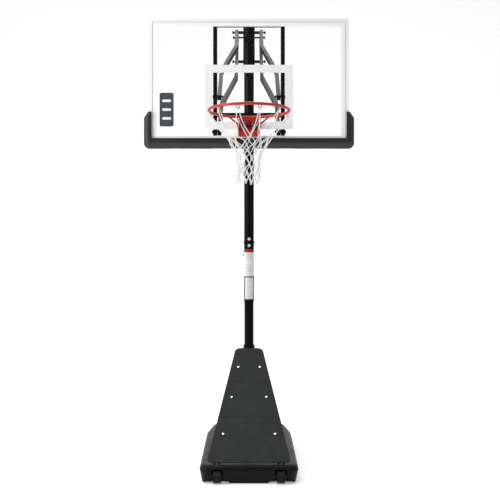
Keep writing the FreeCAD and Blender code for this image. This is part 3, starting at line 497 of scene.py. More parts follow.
class FinishShop:
    """Mixes materials and puts them on pieces."""

    def __init__(self) -> None:
        """Build the shared effects first."""
        self.effects = EffectGroups()
        self.mixed: dict[str, bpy.types.Material] = {}

    def _blank(self, name: str) -> tuple[bpy.types.Material, bpy.types.Node]:
        """Make a material with its Principled shader.

        Args:
            name: The material's name.

        Returns:
            The material and the shader node.
        """
        material = bpy.data.materials.new(name)
        material.use_nodes = True
        return material, material.node_tree.nodes["Principled BSDF"]

    def _place(self, material: bpy.types.Material, group: bpy.types.NodeTree, **values: object
               ) -> bpy.types.Node:
        """Put a group in a material and set its inputs; underscores in names stand for spaces.

        Args:
            material: The material that takes the group.
            group: The node group.
            values: A value for each input's name.

        Returns:
            The group's node.
        """
        node = material.node_tree.nodes.new("ShaderNodeGroup")
        node.node_tree = group
        for name, value in values.items():
            full = (*value, 1.0) if isinstance(value, tuple) else value
            node.inputs[name.replace("_", " ")].default_value = full
        return node

    def grained(self, finish: Finish) -> bpy.types.Material:
        """Mix one grained finish.

        Args:
            finish: Its numbers.

        Returns:
            The material, made once per finish.
        """
        if finish.name in self.mixed:
            return self.mixed[finish.name]
        material, shader = self._blank(finish.name)
        link = material.node_tree.links.new
        grain = self._place(material, self.effects.grain, Colour=finish.colour, Mottle=finish.mottle,
                            Gloss_Low=finish.gloss[0], Gloss_High=finish.gloss[1],
                            Grain_Scale=finish.grain_scale, Grain_Depth=finish.grain_depth)
        wear = self._place(material, self.effects.wear, Worn_Colour=finish.worn, Amount=finish.wear)
        dust = self._place(material, self.effects.dust, Amount=finish.dust)
        link(grain.outputs["Colour"], wear.inputs["Colour"])
        link(grain.outputs["Roughness"], wear.inputs["Roughness"])
        link(wear.outputs["Colour"], dust.inputs["Colour"])
        link(dust.outputs["Colour"], shader.inputs["Base Color"])
        link(wear.outputs["Roughness"], shader.inputs["Roughness"])
        link(grain.outputs["Normal"], shader.inputs["Normal"])
        shader.inputs["Metallic"].default_value = 0.75 if finish.skin is Skin.PLATED else 0.0
        shader.inputs["Coat Weight"].default_value = finish.coat
        shader.inputs["Coat Roughness"].default_value = 0.12
        shader.inputs["Specular IOR Level"].default_value = finish.specular
        self.mixed[finish.name] = material
        return material

    def clear_sheet(self) -> bpy.types.Material:
        """Mix the clear acrylic of the board, with faint hand smears in its gloss.

        Returns:
            The material.
        """
        material, shader = self._blank("clear_acrylic")
        tree = material.node_tree
        smears = self._place(material, self.effects.grain, Colour=(0.10, 0.13, 0.13), Mottle=0.05,
                             Gloss_Low=0.16, Gloss_High=0.24, Grain_Scale=300.0, Grain_Depth=0.00002)
        tree.links.new(smears.outputs["Colour"], shader.inputs["Base Color"])
        tree.links.new(smears.outputs["Roughness"], shader.inputs["Roughness"])
        shader.inputs["Alpha"].default_value = 0.02
        shader.inputs["IOR"].default_value = 1.49
        shader.inputs["Specular IOR Level"].default_value = 0.2
        return material

    def net_cord(self) -> bpy.types.Material:
        """Mix the white braided cord of the net, with painted shade in its grooves.

        Returns:
            The material.
        """
        material, shader = self._blank("braided_net_cord")
        braid = self._place(material, self.effects.braid, Colour=(0.84, 0.84, 0.83))
        material.node_tree.links.new(braid.outputs["Colour"], shader.inputs["Base Color"])
        material.node_tree.links.new(braid.outputs["Normal"], shader.inputs["Normal"])
        shader.inputs["Roughness"].default_value = 0.8
        shader.inputs["Sheen Weight"].default_value = 0.25
        return material

    def _two_colour_film(self, name: str, share: bpy.types.NodeTree, first: Colour, second: Colour, roughness: float
                  ) -> bpy.types.Material:
        """Mix a film that goes from one colour to another by a layout group's share.

        Args:
            name: The material's name.
            share: The layout group, whose one output is the share of the second colour.
            first: Colour of the film.
            second: Colour of the ink, or of the painted shadow line on the border.
            roughness: The film's roughness.

        Returns:
            The material.
        """
        material, shader = self._blank(name)
        tree = material.node_tree
        layout = self._place(material, share)
        mix = tree.nodes.new("ShaderNodeMix")
        mix.data_type = "RGBA"
        tree.links.new(layout.outputs[0], mix.inputs["Factor"])
        mix.inputs["A"].default_value = (*first, 1.0)
        mix.inputs["B"].default_value = (*second, 1.0)
        tree.links.new(mix.outputs["Result"], shader.inputs["Base Color"])
        shader.inputs["Roughness"].default_value = roughness
        return material

    def label_film(self, low: float, high: float) -> bpy.types.Material:
        """Mix the pole's label: a white film with rows of plain bars and a framed lower half.

        Args:
            low: Height of its lower edge.
            high: Height of its upper edge.

        Returns:
            The material.
        """
        material = self._two_colour_film("pole_label_film", EffectGroups.label_layout(low, high), (0.64, 0.65, 0.66),
                                  (0.010, 0.010, 0.010), 0.32)
        shader = material.node_tree.nodes["Principled BSDF"]
        shader.inputs["Specular IOR Level"].default_value = 0.15
        return material

    def border_ink_and_painted_shadow(self, low: Point, high: Point) -> bpy.types.Material:
        """Mix the border's white ink, with a grey line painted along the outer edge of the box given as the
        rail's shadow line.
        """
        # painted shade: a 3.5 mm grey line along the border's outer edge stands for the rail's shadow line
        return self._two_colour_film("border_ink_and_painted_shadow", EffectGroups.painted_shadow_line(low, high, 0.0035), (0.84, 0.85, 0.86),
                              (0.38, 0.39, 0.40), 0.28)

    def dress(self, piece: bpy.types.Object, material: bpy.types.Material) -> None:
        """Give a piece one material in every slot."""
        piece.data.materials.clear()
        piece.data.materials.append(material)


# ---- mesh tools ----------------------------------------------------------------------------------

class MeshKit:
    """Mesh building that several sub-assemblies share."""

    @staticmethod
    def piece(name: str, mesh: bmesh.types.BMesh, smooth_angle: float = 35.0) -> bpy.types.Object:
        """Turn a bmesh into a linked object with smooth faces and sharp corners.

        Args:
            name: The piece's name.
            mesh: The bmesh, freed here.
            smooth_angle: Edges sharper than this, in degrees, stay crisp.

        Returns:
            The object.
        """
        limit = math.radians(smooth_angle)
        bmesh.ops.recalc_face_normals(mesh, faces=mesh.faces)
        for face in mesh.faces:
            face.smooth = True
        for edge in mesh.edges:
            edge.smooth = len(edge.link_faces) == 2 and edge.calc_face_angle(0.0) < limit
        data = bpy.data.meshes.new(name)
        mesh.to_mesh(data)
        mesh.free()
        made = bpy.data.objects.new(name, data)
        bpy.context.collection.objects.link(made)
        return made

    @staticmethod
    def tube(mesh: bmesh.types.BMesh, path: list[Vector], radius: float, sides: int = 8) -> None:
        """Sweep a round section along an open path, with its length and girth as UV.

        Args:
            mesh: The bmesh that takes the tube.
            path: Points of the centre line.
            radius: Radius of the section.
            sides: Corners of the section.
        """
        layer = mesh.loops.layers.uv.get("along") or mesh.loops.layers.uv.new("along")
        count = len(path)
        tangents = [(path[min(k + 1, count - 1)] - path[max(k - 1, 0)]).normalized() for k in range(count)]
        side = tangents[0].orthogonal().normalized()
        rings, travelled, lengths = [], 0.0, []
        for k, (point, tangent) in enumerate(zip(path, tangents)):
            side = (side - tangent * side.dot(tangent)).normalized()
            other = tangent.cross(side)
            turns = (math.tau * s / sides for s in range(sides))
            rings.append([mesh.verts.new(point + (side * math.cos(t) + other * math.sin(t)) * radius)
                          for t in turns])
            travelled += (point - path[k - 1]).length if k else 0.0
            lengths.append(travelled)
        for here, there, start, end in zip(rings, rings[1:], lengths, lengths[1:]):
            for s in range(sides):
                face = mesh.faces.new((here[s], here[(s + 1) % sides], there[(s + 1) % sides], there[s]))
                places = ((s, start), (s + 1, start), (s + 1, end), (s, end))
                for loop, (turn, along) in zip(face.loops, places):
                    loop[layer].uv = (turn / sides, along)
        mesh.faces.new(rings[0][::-1])
        mesh.faces.new(rings[-1])

    @staticmethod
    def smooth_path(points: list[Vector], steps: int) -> list[Vector]:
        """Points of a smooth curve through the given ones.

        Args:
            points: Points that the curve passes.
            steps: Steps between two of them.

        Returns:
            The finer points.
        """
        path = []
        for k in range(len(points) - 1):
            p0, p1 = points[max(k - 1, 0)], points[k]
            p2, p3 = points[k + 1], points[min(k + 2, len(points) - 1)]
            for step in range(steps):
                t = step / steps
                path.append(0.5 * (2 * p1 + (p2 - p0) * t + (2 * p0 - 5 * p1 + 4 * p2 - p3) * t * t
                                   + (3 * p1 - p0 - 3 * p2 + p3) * t ** 3))
        path.append(points[-1])
        return path

    @staticmethod
    def lathe(mesh: bmesh.types.BMesh, profile: list[tuple[float, float]], centre: Vector, axis: Vector,
              sides: int = 48) -> None:
        """Turn a closed profile about an axis.

        Args:
            mesh: The bmesh that takes the form.
            profile: Corners as distance along the axis and radius.
            centre: Point on the axis that distances start from.
            axis: Direction of the axis.
            sides: Steps round the axis.
        """
        axis = axis.normalized()
        side = axis.orthogonal().normalized()
        other = axis.cross(side)
        rings = []
        for s in range(sides):
            turn = math.tau * s / sides
            out = side * math.cos(turn) + other * math.sin(turn)
            rings.append([mesh.verts.new(centre + axis * along + out * radius) for along, radius in profile])
        for s in range(sides):
            here, there = rings[s], rings[(s + 1) % sides]
            for k in range(len(profile)):
                nxt = (k + 1) % len(profile)
                mesh.faces.new((here[k], here[nxt], there[nxt], there[k]))

    @staticmethod
    def rounded(corners: list[tuple[float, float]], radii: list[float], steps: int = 6
                ) -> list[tuple[float, float]]:
        """Round a polygon's corners with arcs.

        Args:
            corners: The polygon, in order.
            radii: One radius for each corner.
            steps: Points along each arc.

        Returns:
            The finer outline.
        """
        outline = []
        count = len(corners)
        for k, radius in enumerate(radii):
            here = Vector(corners[k])
            to_last = (Vector(corners[k - 1]) - here).normalized()
            to_next = (Vector(corners[(k + 1) % count]) - here).normalized()
            half = to_last.angle(to_next) / 2
            if radius <= 0 or math.sin(half) > 0.999:
                outline.append(tuple(here))
                continue
            centre = here + (to_last + to_next).normalized() * (radius / math.sin(half))
            start = here + to_last * (radius / math.tan(half)) - centre
            end = here + to_next * (radius / math.tan(half)) - centre
            sweep = start.angle_signed(end)
            for step in range(steps + 1):
                turned = start.copy()
                turned.rotate(Matrix.Rotation(-sweep * step / steps, 2))
                outline.append(tuple(centre + turned))
        return outline

    @staticmethod
    def bridge(mesh: bmesh.types.BMesh, loops: list[list[Point]]) -> None:
        """Skin a stack of closed loops with equal counts, and close both ends.

        Args:
            mesh: The bmesh that takes the skin.
            loops: The loops, in order.
        """
        rows = [[mesh.verts.new(point) for point in loop] for loop in loops]
        for here, there in zip(rows, rows[1:]):
            for k in range(len(here)):
                nxt = (k + 1) % len(here)
                mesh.faces.new((here[k], here[nxt], there[nxt], there[k]))
        mesh.faces.new(rows[0][::-1])
        mesh.faces.new(rows[-1])

    @staticmethod
    def soften(piece: bpy.types.Object, width: float, segments: int = 3, angle: float = 30.0) -> None:
        """Round a piece's sharp edges with a bevel.

        Args:
            piece: The piece that takes the bevel.
            width: The bevel's width.
            segments: Steps round the bevel.
            angle: Edges sharper than this, in degrees, are rounded.
        """
        bevel = piece.modifiers.new("soft_edges", "BEVEL")
        bevel.width = width
        bevel.segments = segments
        bevel.limit_method = "ANGLE"
        bevel.angle_limit = math.radians(angle)
        bevel.harden_normals = True


# ---- tank, wheels and cover ----------------------------------------------------------------------

@dataclass
class RollingTank:
    """The water tank with its wheels."""

    shop: FinishShop
    corner: float = 0.062
    foot_draft: float = 0.020
    taper: float = 0.040
    waist: float = 0.932
    shoulder: float = 0.098
    crown: float = 0.030
    well_half: float = 0.039
    well_top: float = 0.092
    well_depth: float = 0.070
    well_corner: float = 0.012
    pocket_half: float = 0.024
    pocket_along: tuple[float, float] = (0.018, 0.034)
    pocket_floor: float = 0.108
    arch_half: float = 0.079
    arch_rise: float = 0.015
    arch_depth: float = 0.064
    grip_places: tuple[float, float] = (-0.30, -0.62)
    grip_half: float = 0.09
    grip_rise: tuple[float, float] = (0.034, 0.070)
    grip_corner: float = 0.012
    grip_depth: float = 0.016
    filler: float = 0.0218

    def build(self) -> list[bpy.types.Object]:
        """Build and dress the tank, its wheels and its cap.

        Returns:
            The tank's skin, its wheels and its filler cap.
        """
        low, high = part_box("base_tank")
        pieces = [self._shell(low, high)]
        for side in ("left", "right"):
            pieces.append(self._wheel(side))
        return [*pieces, self._filler_cap()]

    def _outline(self, low: Point, high: Point, inset: float, z: float) -> list[Point]:
        """One level of the tank's plan.

        Args:
            low: Lower corner of the tank's box.
            high: Upper corner of the tank's box.
            inset: How far the plan is drawn in.
            z: Height of the level.

        Returns:
            Points round the level.
        """
        half, tail = high[0] - inset, high[0] - self.taper - inset
        front, back, waist = low[1] + inset, high[1] - inset, low[1] + self.waist
        radius = self.corner - inset * 0.5
        corners = [(-half, front), (half, front), (half, waist), (tail, back), (-tail, back), (-half, waist)]
        flat = MeshKit.rounded(corners, [radius, radius, 0.0, radius, radius, 0.0], 8)
        return [(x, y, z) for x, y in flat]

    def _shell(self, low: Point, high: Point) -> bpy.types.Object:
        """The tank's skin with drafted sides, a rolled shoulder, wheel wells and strut pockets.

        Args:
            low: Lower corner of the tank's box.
            high: Upper corner of the tank's box.

        Returns:
            The skin.
        """
        mesh = bmesh.new()
        top = high[2]
        levels = [(self.foot_draft + 0.006, 0.0), (self.foot_draft, 0.005), (0.006, self.shoulder - 0.024)]
        for step in range(7):
            turn = math.pi / 2 * step / 6
            levels.append((0.004 + self.crown * (1 - math.cos(turn)), self.shoulder - 0.018
                           + (top - self.shoulder + 0.018) * math.sin(turn)))
        MeshKit.bridge(mesh, [self._outline(low, high, inset, z) for inset, z in levels])
        shell = MeshKit.piece("tank_shell", mesh)
        self._carve(shell, low, top)
        MeshKit.soften(shell, 0.0035, 3, 40.0)
        self.shop.dress(shell, self.shop.grained(TANK_PLASTIC))
        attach(shell, "base")
        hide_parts("base_tank")
        return shell

    def _carve(self, shell: bpy.types.Object, low: Point, top: float) -> None:
        """Cut the wheel wells, arches, strut pockets, side grips and filler hole out of the shell.

        Args:
            shell: The skin, changed in place.
            low: Lower corner of the tank's box.
            top: Height of the tank's top.
        """
        front = low[1] - 0.05
        wheel_low, wheel_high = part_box("wheel_right")
        bolt_low, bolt_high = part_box("strut_foot_bolts")
        foot = bolt_high[0] - (bolt_high[1] - bolt_low[1]) / 2
        foot_along = (bolt_low[1] + bolt_high[1]) / 2
        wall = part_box("base_tank")[1][0]
        hollows: list[list[list[Point]]] = []
        for side in (-1, 1):
            middle = side * (wheel_low[0] + wheel_high[0]) / 2
            half, roof, cut = self.well_half, self.well_top, self.well_corner
            well = [(middle - half, -0.01), (middle + half, -0.01), (middle + half, roof - cut),
                    (middle + half - cut, roof), (middle - half + cut, roof), (middle - half, roof - cut)]
            hollows.append([[(x, y, z) for x, z in well] for y in (front, low[1] + self.well_depth)])
            arch = [(middle - self.arch_half - 0.012, -0.01), (middle + self.arch_half + 0.012, -0.01)]
            for step in range(9):
                turn = math.pi * step / 8
                bulge = math.copysign(abs(math.cos(turn)) ** 0.35, math.cos(turn))
                rise = self.arch_rise * math.sqrt(max(math.sin(turn), 0.0))
                arch.append((middle + self.arch_half * bulge, rise))
            hollows.append([[(x, y, z) for x, z in arch] for y in (front, low[1] + self.arch_depth)])
            hollows.append(self._box_hollow(side * foot, foot_along, top))
            for y in self.grip_places:
                start, end = y - self.grip_half, y + self.grip_half
                plan = MeshKit.rounded([(start, self.grip_rise[0]), (end, self.grip_rise[0]),
                                        (end, self.grip_rise[1]), (start, self.grip_rise[1])],
                                       [self.grip_corner] * 4, 4)
                hollows.append([[(x, p, q) for p, q in plan]
                                for x in (side * (wall - self.grip_depth), side * (wall + 0.02))])
        cap_low, cap_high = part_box("filler_cap")
        cap = ((cap_low[0] + cap_high[0]) / 2, (cap_low[1] + cap_high[1]) / 2)
        turns = [math.tau * k / 32 for k in range(32)]
        hole = [(cap[0] + self.filler * math.cos(t), cap[1] + self.filler * math.sin(t)) for t in turns]
        hollows.append([[(x, y, z) for x, y in hole] for z in (top - 0.02, top + 0.02)])
        cutters = []
        for loops in hollows:
            mesh = bmesh.new()
            MeshKit.bridge(mesh, loops)
            cutters.append(MeshKit.piece("tank_cutter", mesh))
            carve = shell.modifiers.new("carve", "BOOLEAN")
            carve.object, carve.operation, carve.solver = cutters[-1], "DIFFERENCE", "EXACT"
        apply_modifiers(shell)
        for cutter in cutters:
            bpy.data.objects.remove(cutter)

    def _box_hollow(self, across: float, along: float, top: float) -> list[list[Point]]:
        """The shallow pocket under one strut's foot.

        Args:
            across: The foot's place across the tank.
            along: The foot's place along it.
            top: Height of the tank's top.

        Returns:
            The hollow's floor and its opening, as loops.
        """
        front, back = along - self.pocket_along[0], along + self.pocket_along[1]
        left, right = across - self.pocket_half, across + self.pocket_half
        plan = MeshKit.rounded([(left, front), (right, front), (right, back), (left, back)], [0.006] * 4, 4)
        return [[(x, y, z) for x, y in plan] for z in (self.pocket_floor, top + 0.05)]

    def _wheel(self, side: str) -> bpy.types.Object:
        """A moulded wheel with a ribbed tread and dished faces.

        Args:
            side: left or right.

        Returns:
            The wheel.
        """
        node = f"wheel_{side}"
        low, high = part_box(node)
        centre = Vector(((low[0] + high[0]) / 2, (low[1] + high[1]) / 2, (low[2] + high[2]) / 2))
        radius, half = (high[2] - low[2]) / 2, (high[0] - low[0]) / 2
        bore, hub, web = 0.0052, radius * 0.34, half - 0.010
        tread = [(half * share, radius - (0.0022 if k % 2 else 0.0))
                 for k, share in enumerate((-0.78, -0.66, -0.42, -0.30, -0.06, 0.06, 0.30, 0.42, 0.66, 0.78))]
        profile = [(-half + 0.002, bore), (-half + 0.001, hub - 0.002), (-half + 0.004, hub),
                   (-web, hub + 0.002), (-web, radius * 0.70), (-half + 0.003, radius * 0.74),
                   (-half, radius * 0.80), (-half + 0.001, radius * 0.94), (-half * 0.90, radius - 0.0006)]
        outside = profile + tread + [(-along, out) for along, out in reversed(profile)]
        mesh = bmesh.new()
        MeshKit.lathe(mesh, outside, centre, Vector((1, 0, 0)), 56)
        wheel = MeshKit.piece(f"moulded_wheel_{side}", mesh, 28.0)
        self.shop.dress(wheel, self.shop.grained(WHEEL_PLASTIC))
        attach(wheel, node)
        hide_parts(node)
        return wheel


    def _filler_cap(self) -> bpy.types.Object:
        """The screw-in cap: a knurled rim, a dished face, a finger grip and a threaded plug.

        Returns:
            The cap.
        """
        low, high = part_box("filler_cap")
        centre = Vector(((low[0] + high[0]) / 2, (low[1] + high[1]) / 2, 0))
        radius = (high[0] - low[0]) / 2
        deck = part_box("base_tank")[1][2]
        face = high[2] - 0.009
        root, crest, half, thin = 0.0198, 0.0212, 0.0225, 0.004
        profile = [(low[2], 0.004), (low[2], 0.0190)]
        for turn in range(4):
            start = low[2] + 0.0012 + turn * 0.0028
            profile += [(start, root), (start + 0.0008, crest), (start + 0.0016, crest),
                        (start + 0.0024, root)]
        profile += [(deck + 0.0002, root), (deck + 0.0002, radius - 0.0012), (deck + 0.0012, radius - 0.0004),
                    (face - 0.002, radius - 0.0012), (face, radius - 0.0035), (face - 0.0004, radius - 0.006),
                    (face - 0.0026, radius - 0.009), (face - 0.0030, 0.004)]
        mesh = bmesh.new()
        MeshKit.lathe(mesh, profile, centre, Vector((0, 0, 1)), 72)
        grip = MeshKit.rounded([(-half, -thin), (half, -thin), (half, thin), (-half, thin)], [0.0036] * 4, 5)
        levels = [(face - 0.0034, 1.0), (high[2] - 0.002, 1.0), (high[2] - 0.0006, 0.94), (high[2], 0.86)]
        MeshKit.bridge(mesh, [[(centre.x + x * share, centre.y + y * share, z) for x, y in grip]
                              for z, share in levels])
        for k in range(24):
            turn = math.tau * k / 24
            out = centre + Vector((math.cos(turn), math.sin(turn), 0)) * (radius - 0.0012)
            rib = [out + Vector((0, 0, z)) for z in (deck + 0.002, face - 0.003)]
            MeshKit.tube(mesh, rib, 0.0012, 6)
        cap = MeshKit.piece("screw_cap", mesh, 30.0)
        self.shop.dress(cap, self.shop.grained(CAP_PLASTIC))
        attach(cap, "filler_cap")
        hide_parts("filler_cap")
        return cap


def apply_modifiers(piece: bpy.types.Object) -> None:
    """Bake a piece's modifiers into its mesh, in its place.

    Args:
        piece: The piece, changed in place.
    """
    bpy.context.view_layer.update()
    shaped = piece.evaluated_get(bpy.context.evaluated_depsgraph_get())
    mesh = bpy.data.meshes.new_from_object(shaped)
    piece.modifiers.clear()
    piece.data = mesh


@dataclass
class SlopingCover:
    """The panel over the struts."""

    shop: FinishShop
    foot_half: float = 0.268
    head_half: float = 0.102
    length: float = 1.165
    thick: float = 0.008
    slope: float = math.radians(30.38)
    corners: tuple[float, float] = (0.034, 0.038)
    folds: tuple[float, float] = (0.402, 0.764)
    fold_depth: float = 0.0016

    def build(self) -> bpy.types.Object:
        """Build the panel with its two fold lines and rolled edge.

        Returns:
            The panel.
        """
        low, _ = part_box("cover_panel")
        start = Vector((0.0, low[1] + self.thick * math.sin(self.slope), low[2]))
        mesh = bmesh.new()
        across = 26
        marks = self._marks()
        rows = []
        for distance in marks:
            half = self._half(distance)
            dip = sum(self.fold_depth * max(0.0, 1 - abs(distance - fold) / 0.004) for fold in self.folds)
            row = []
            for k in range(across + 1):
                share = -math.cos(math.pi * k / across)
                bow = 0.0009 * math.sin(distance * 23.0) * (1 - share * share)
                lift = self.thick - dip + bow * 0.4
                row.append(mesh.verts.new(self._on_slope(start, share * half, distance, lift)))
            rows.append(row)
        for here, there in zip(rows, rows[1:]):
            for k in range(across):
                mesh.faces.new((here[k], here[k + 1], there[k + 1], there[k]))
        panel = MeshKit.piece("cover_skin", mesh, 60.0)
        shell = panel.modifiers.new("thickness", "SOLIDIFY")
        shell.thickness = self.thick - 0.0005
        shell.offset = -1.0
        apply_modifiers(panel)
        MeshKit.soften(panel, 0.0022, 3, 50.0)
        self.shop.dress(panel, self.shop.grained(COVER_PLASTIC))
        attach(panel, "base")
        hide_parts("cover_panel")
        return panel

    def _marks(self) -> list[float]:
        """Distances up the slope where the panel has a row of points.

        Returns:
            The distances, from the foot up.
        """
        marks = {0.0, self.length}
        marks.update(self.length * k / 30 for k in range(31))
        for fold in self.folds:
            marks.update(fold + shift for shift in (-0.004, -0.002, 0.0, 0.002, 0.004))
        for k in range(9):
            turn = math.pi / 2 * k / 8
            marks.add(self.corners[0] * (1 - math.cos(turn)))
            marks.add(self.length - self.corners[1] * (1 - math.cos(turn)))
        return sorted(marks)

    def _half(self, distance: float) -> float:
        """Half the panel's width at a distance up the slope, with its round corners.

        Args:
            distance: Distance up the slope from the foot.

        Returns:
            Half the width there.
        """
        half = self.foot_half + (self.head_half - self.foot_half) * distance / self.length
        for radius, gap in ((self.corners[0], distance), (self.corners[1], self.length - distance)):
            if gap < radius:
                half -= radius - math.sqrt(max(radius * radius - (radius - gap) ** 2, 0.0))
        return half

    def _on_slope(self, start: Vector, across: float, distance: float, lift: float) -> Vector:
        """A point on the slope, lifted above its underside.

        Args:
            start: Middle of the panel's lower edge, on its underside.
            across: Offset from the middle.
            distance: Distance up the slope.
            lift: Height above the underside.

        Returns:
            The point.
        """
        up = Vector((0, math.cos(self.slope), math.sin(self.slope)))
        out = Vector((0, -math.sin(self.slope), math.cos(self.slope)))
        return Vector((across, start.y, start.z)) + up * distance + out * lift


# ---- board ---------------------------------------------------------------------------------------

@dataclass
class BoardTrim:
    """The soft pad, the badge and the sheet of the board."""

    shop: FinishShop
    seat_gap: float = 0.0004
    cover_side: float = 0.016
    cover_foot: float = 0.034
    face_share: float = 0.50
    chamfer: float = 0.026
    edge: float = 0.004
    top_cut: tuple[float, float] = (0.022, 0.038)
    foot_corner: float = 0.036
    sag: float = 0.0012
    badge_size: tuple[float, float] = (0.090, 0.215)
    badge_places: tuple[float, float] = (-0.524, 0.206)

    def build(self) -> list[bpy.types.Object]:
        """Build the pad and badge and dress the sheet, and return the new pieces."""
        self.shop.dress(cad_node("board_sheet"), self.shop.clear_sheet())
        return [self._pad(), *self._badge()]

    def _pad(self) -> bpy.types.Object:
        """The U-shaped pad: one section with a bevelled face, swept down one side, along and up again.

        Returns:
            The pad.
        """
        low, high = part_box("edge_pad")
        rail_low, rail_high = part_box("board_rail_right")
        foot_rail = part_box("board_rail_bottom")[0][2]
        mesh = bmesh.new()
        loops = [self._section(station, low[1], high[1], rail_low[1], rail_high[1])
                 for station in self._stations(low, high, rail_high[0], foot_rail)]
        MeshKit.bridge(mesh, loops)
        bmesh.ops.triangulate(mesh, faces=[face for face in mesh.faces if len(face.verts) > 4],
                              ngon_method="EAR_CLIP")
        bmesh.ops.remove_doubles(mesh, verts=mesh.verts, dist=1e-5)
        pad = MeshKit.piece("edge_cushion", mesh, 24.0)
        self.shop.dress(pad, self.shop.grained(PAD_FOAM))
        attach(pad, "board")
        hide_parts("edge_pad")
        return pad

    def _stations(self, low: Point, high: Point, rail_edge: float, rail_foot: float
                  ) -> list[tuple[tuple[float, float], tuple[float, float], tuple[float, float]]]:
        """Outer edge, inner lip and seat of the section, from the right arm's top to the left arm's.

        Args:
            low: Lower corner of the pad's box.
            high: Upper corner of the pad's box.
            rail_edge: Outside of the board's side rail.
            rail_foot: Underside of the board's bottom rail.

        Returns:
            Three points across and up for each station.
        """
        half, top, foot = high[0], high[2], low[2]
        lip_x, lip_z = rail_edge - self.cover_side, rail_foot + self.cover_foot
        seat_x, seat_z = rail_edge + self.seat_gap, rail_foot - self.seat_gap
        cut_x, cut_z = self.top_cut
        corner = self.foot_corner
        right = [((half - cut_x - 0.004, top - 0.001), (lip_x + 0.003, top - 0.001), (seat_x, top - 0.001)),
                 ((half - cut_x, top - 0.004), (lip_x, top - 0.004), (seat_x, top - 0.004)),
                 ((half - 0.002, top - cut_z + 0.004), (lip_x, top - cut_z), (seat_x, top - cut_z)),
                 ((half, top - cut_z - 0.004), (lip_x, top - cut_z - 0.006), (seat_x, top - cut_z - 0.006))]
        right += [((half, z), (lip_x, z), (seat_x, z)) for z in (top - 0.08, top - 0.12, lip_z + 0.004)]
        right.append(((half, lip_z - 0.012), (lip_x, lip_z), (seat_x, lip_z - 0.012)))
        for step in range(9):
            turn = math.pi / 2 * step / 8
            outer = (half - corner * (1 - math.cos(turn)), foot + corner * (1 - math.sin(turn)))
            right.append((outer, (lip_x, lip_z), (seat_x, seat_z)))
        reach, spans = lip_x - 0.004, 44
        bottom = []
        for k in range(spans + 1):
            x = reach * (1 - 2 * k / spans)
            ripple = self.sag * (1 + math.sin(k * 0.83) * math.cos(k * 0.31)) * math.sin(math.pi * k / spans)
            bottom.append(((x, foot + ripple), (x, lip_z), (x, seat_z)))
        left = [tuple((-x, z) for x, z in station) for station in reversed(right)]
        return right + bottom + left

    def _section(self, station: tuple, front: float, rear: float, seat_front: float, seat_rear: float
                 ) -> list[Point]:
        """The pad's closed section at one station, from the lip's front round to its seat.

        Args:
            station: Outer edge, inner lip and seat, each across and up.
            front: The pad's front face.
            rear: The pad's back.
            seat_front: Front of the rail that it grips.
            seat_rear: Back of that rail.

        Returns:
            Points round the section.
        """
        outer, lip, seat = (Vector(point) for point in station)
        run = outer - lip
        way = run.normalized()
        break_line = lip + run * self.face_share
        edge = self.edge
        around = [(lip, front + edge), (lip + way * edge * 0.3, front + edge * 0.3),
                  (lip + way * edge, front), (break_line - way * 0.002, front),
                  (break_line + way * 0.002, front + 0.0012)]
        for share in (0.35, 0.7, 0.9):
            around.append((break_line.lerp(outer, share), front + self.chamfer * (share ** 1.15) * 0.95))
        around += [(outer - way * 0.0008, front + self.chamfer), (outer, front + self.chamfer + 0.005),
                   (outer, rear - 0.008), (outer - way * 0.0025, rear - 0.0025), (outer - way * 0.008, rear),
                   (lip + way * 0.003, rear), (lip, rear - 0.003), (lip, seat_rear + self.seat_gap),
                   (seat, seat_rear + self.seat_gap), (seat, seat_front - self.seat_gap),
                   (lip, seat_front - self.seat_gap)]
        return [(point.x, y, point.y) for point, y in around]

    def _badge(self) -> list[bpy.types.Object]:
        """A plain badge on the sheet: a slate plate with three pale bars.

        Returns:
            The plate and its bars.
        """
        low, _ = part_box("board_sheet")
        width, height = self.badge_size
        x, z = self.badge_places[0], low[2] + self.badge_places[1]
        y = low[1] - 0.0001
        plates = [("badge_plate", width, height, z, 0.0004, BADGE_SLATE)]
        plates += [(f"badge_bar_{k + 1}", width * share, 0.016, z + height * rise, 0.0007, BADGE_PALE)
                   for k, (share, rise) in enumerate(((0.62, 0.26), (0.62, 0.0), (0.62, -0.26)))]
        made = []
        for name, wide, tall, level, proud, finish in plates:
            corners = [(x - wide / 2, level - tall / 2), (x + wide / 2, level - tall / 2),
                       (x + wide / 2, level + tall / 2), (x - wide / 2, level + tall / 2)]
            plan = MeshKit.rounded(corners, [min(0.012, tall * 0.45)] * 4, 6)
            mesh = bmesh.new()
            MeshKit.bridge(mesh, [[(p, depth, q) for p, q in plan] for depth in (y, y - proud)])
            piece = MeshKit.piece(name, mesh)
            self.shop.dress(piece, self.shop.grained(finish))
            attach(piece, "board")
            made.append(piece)
        return made


# ---- rim and net ---------------------------------------------------------------------------------

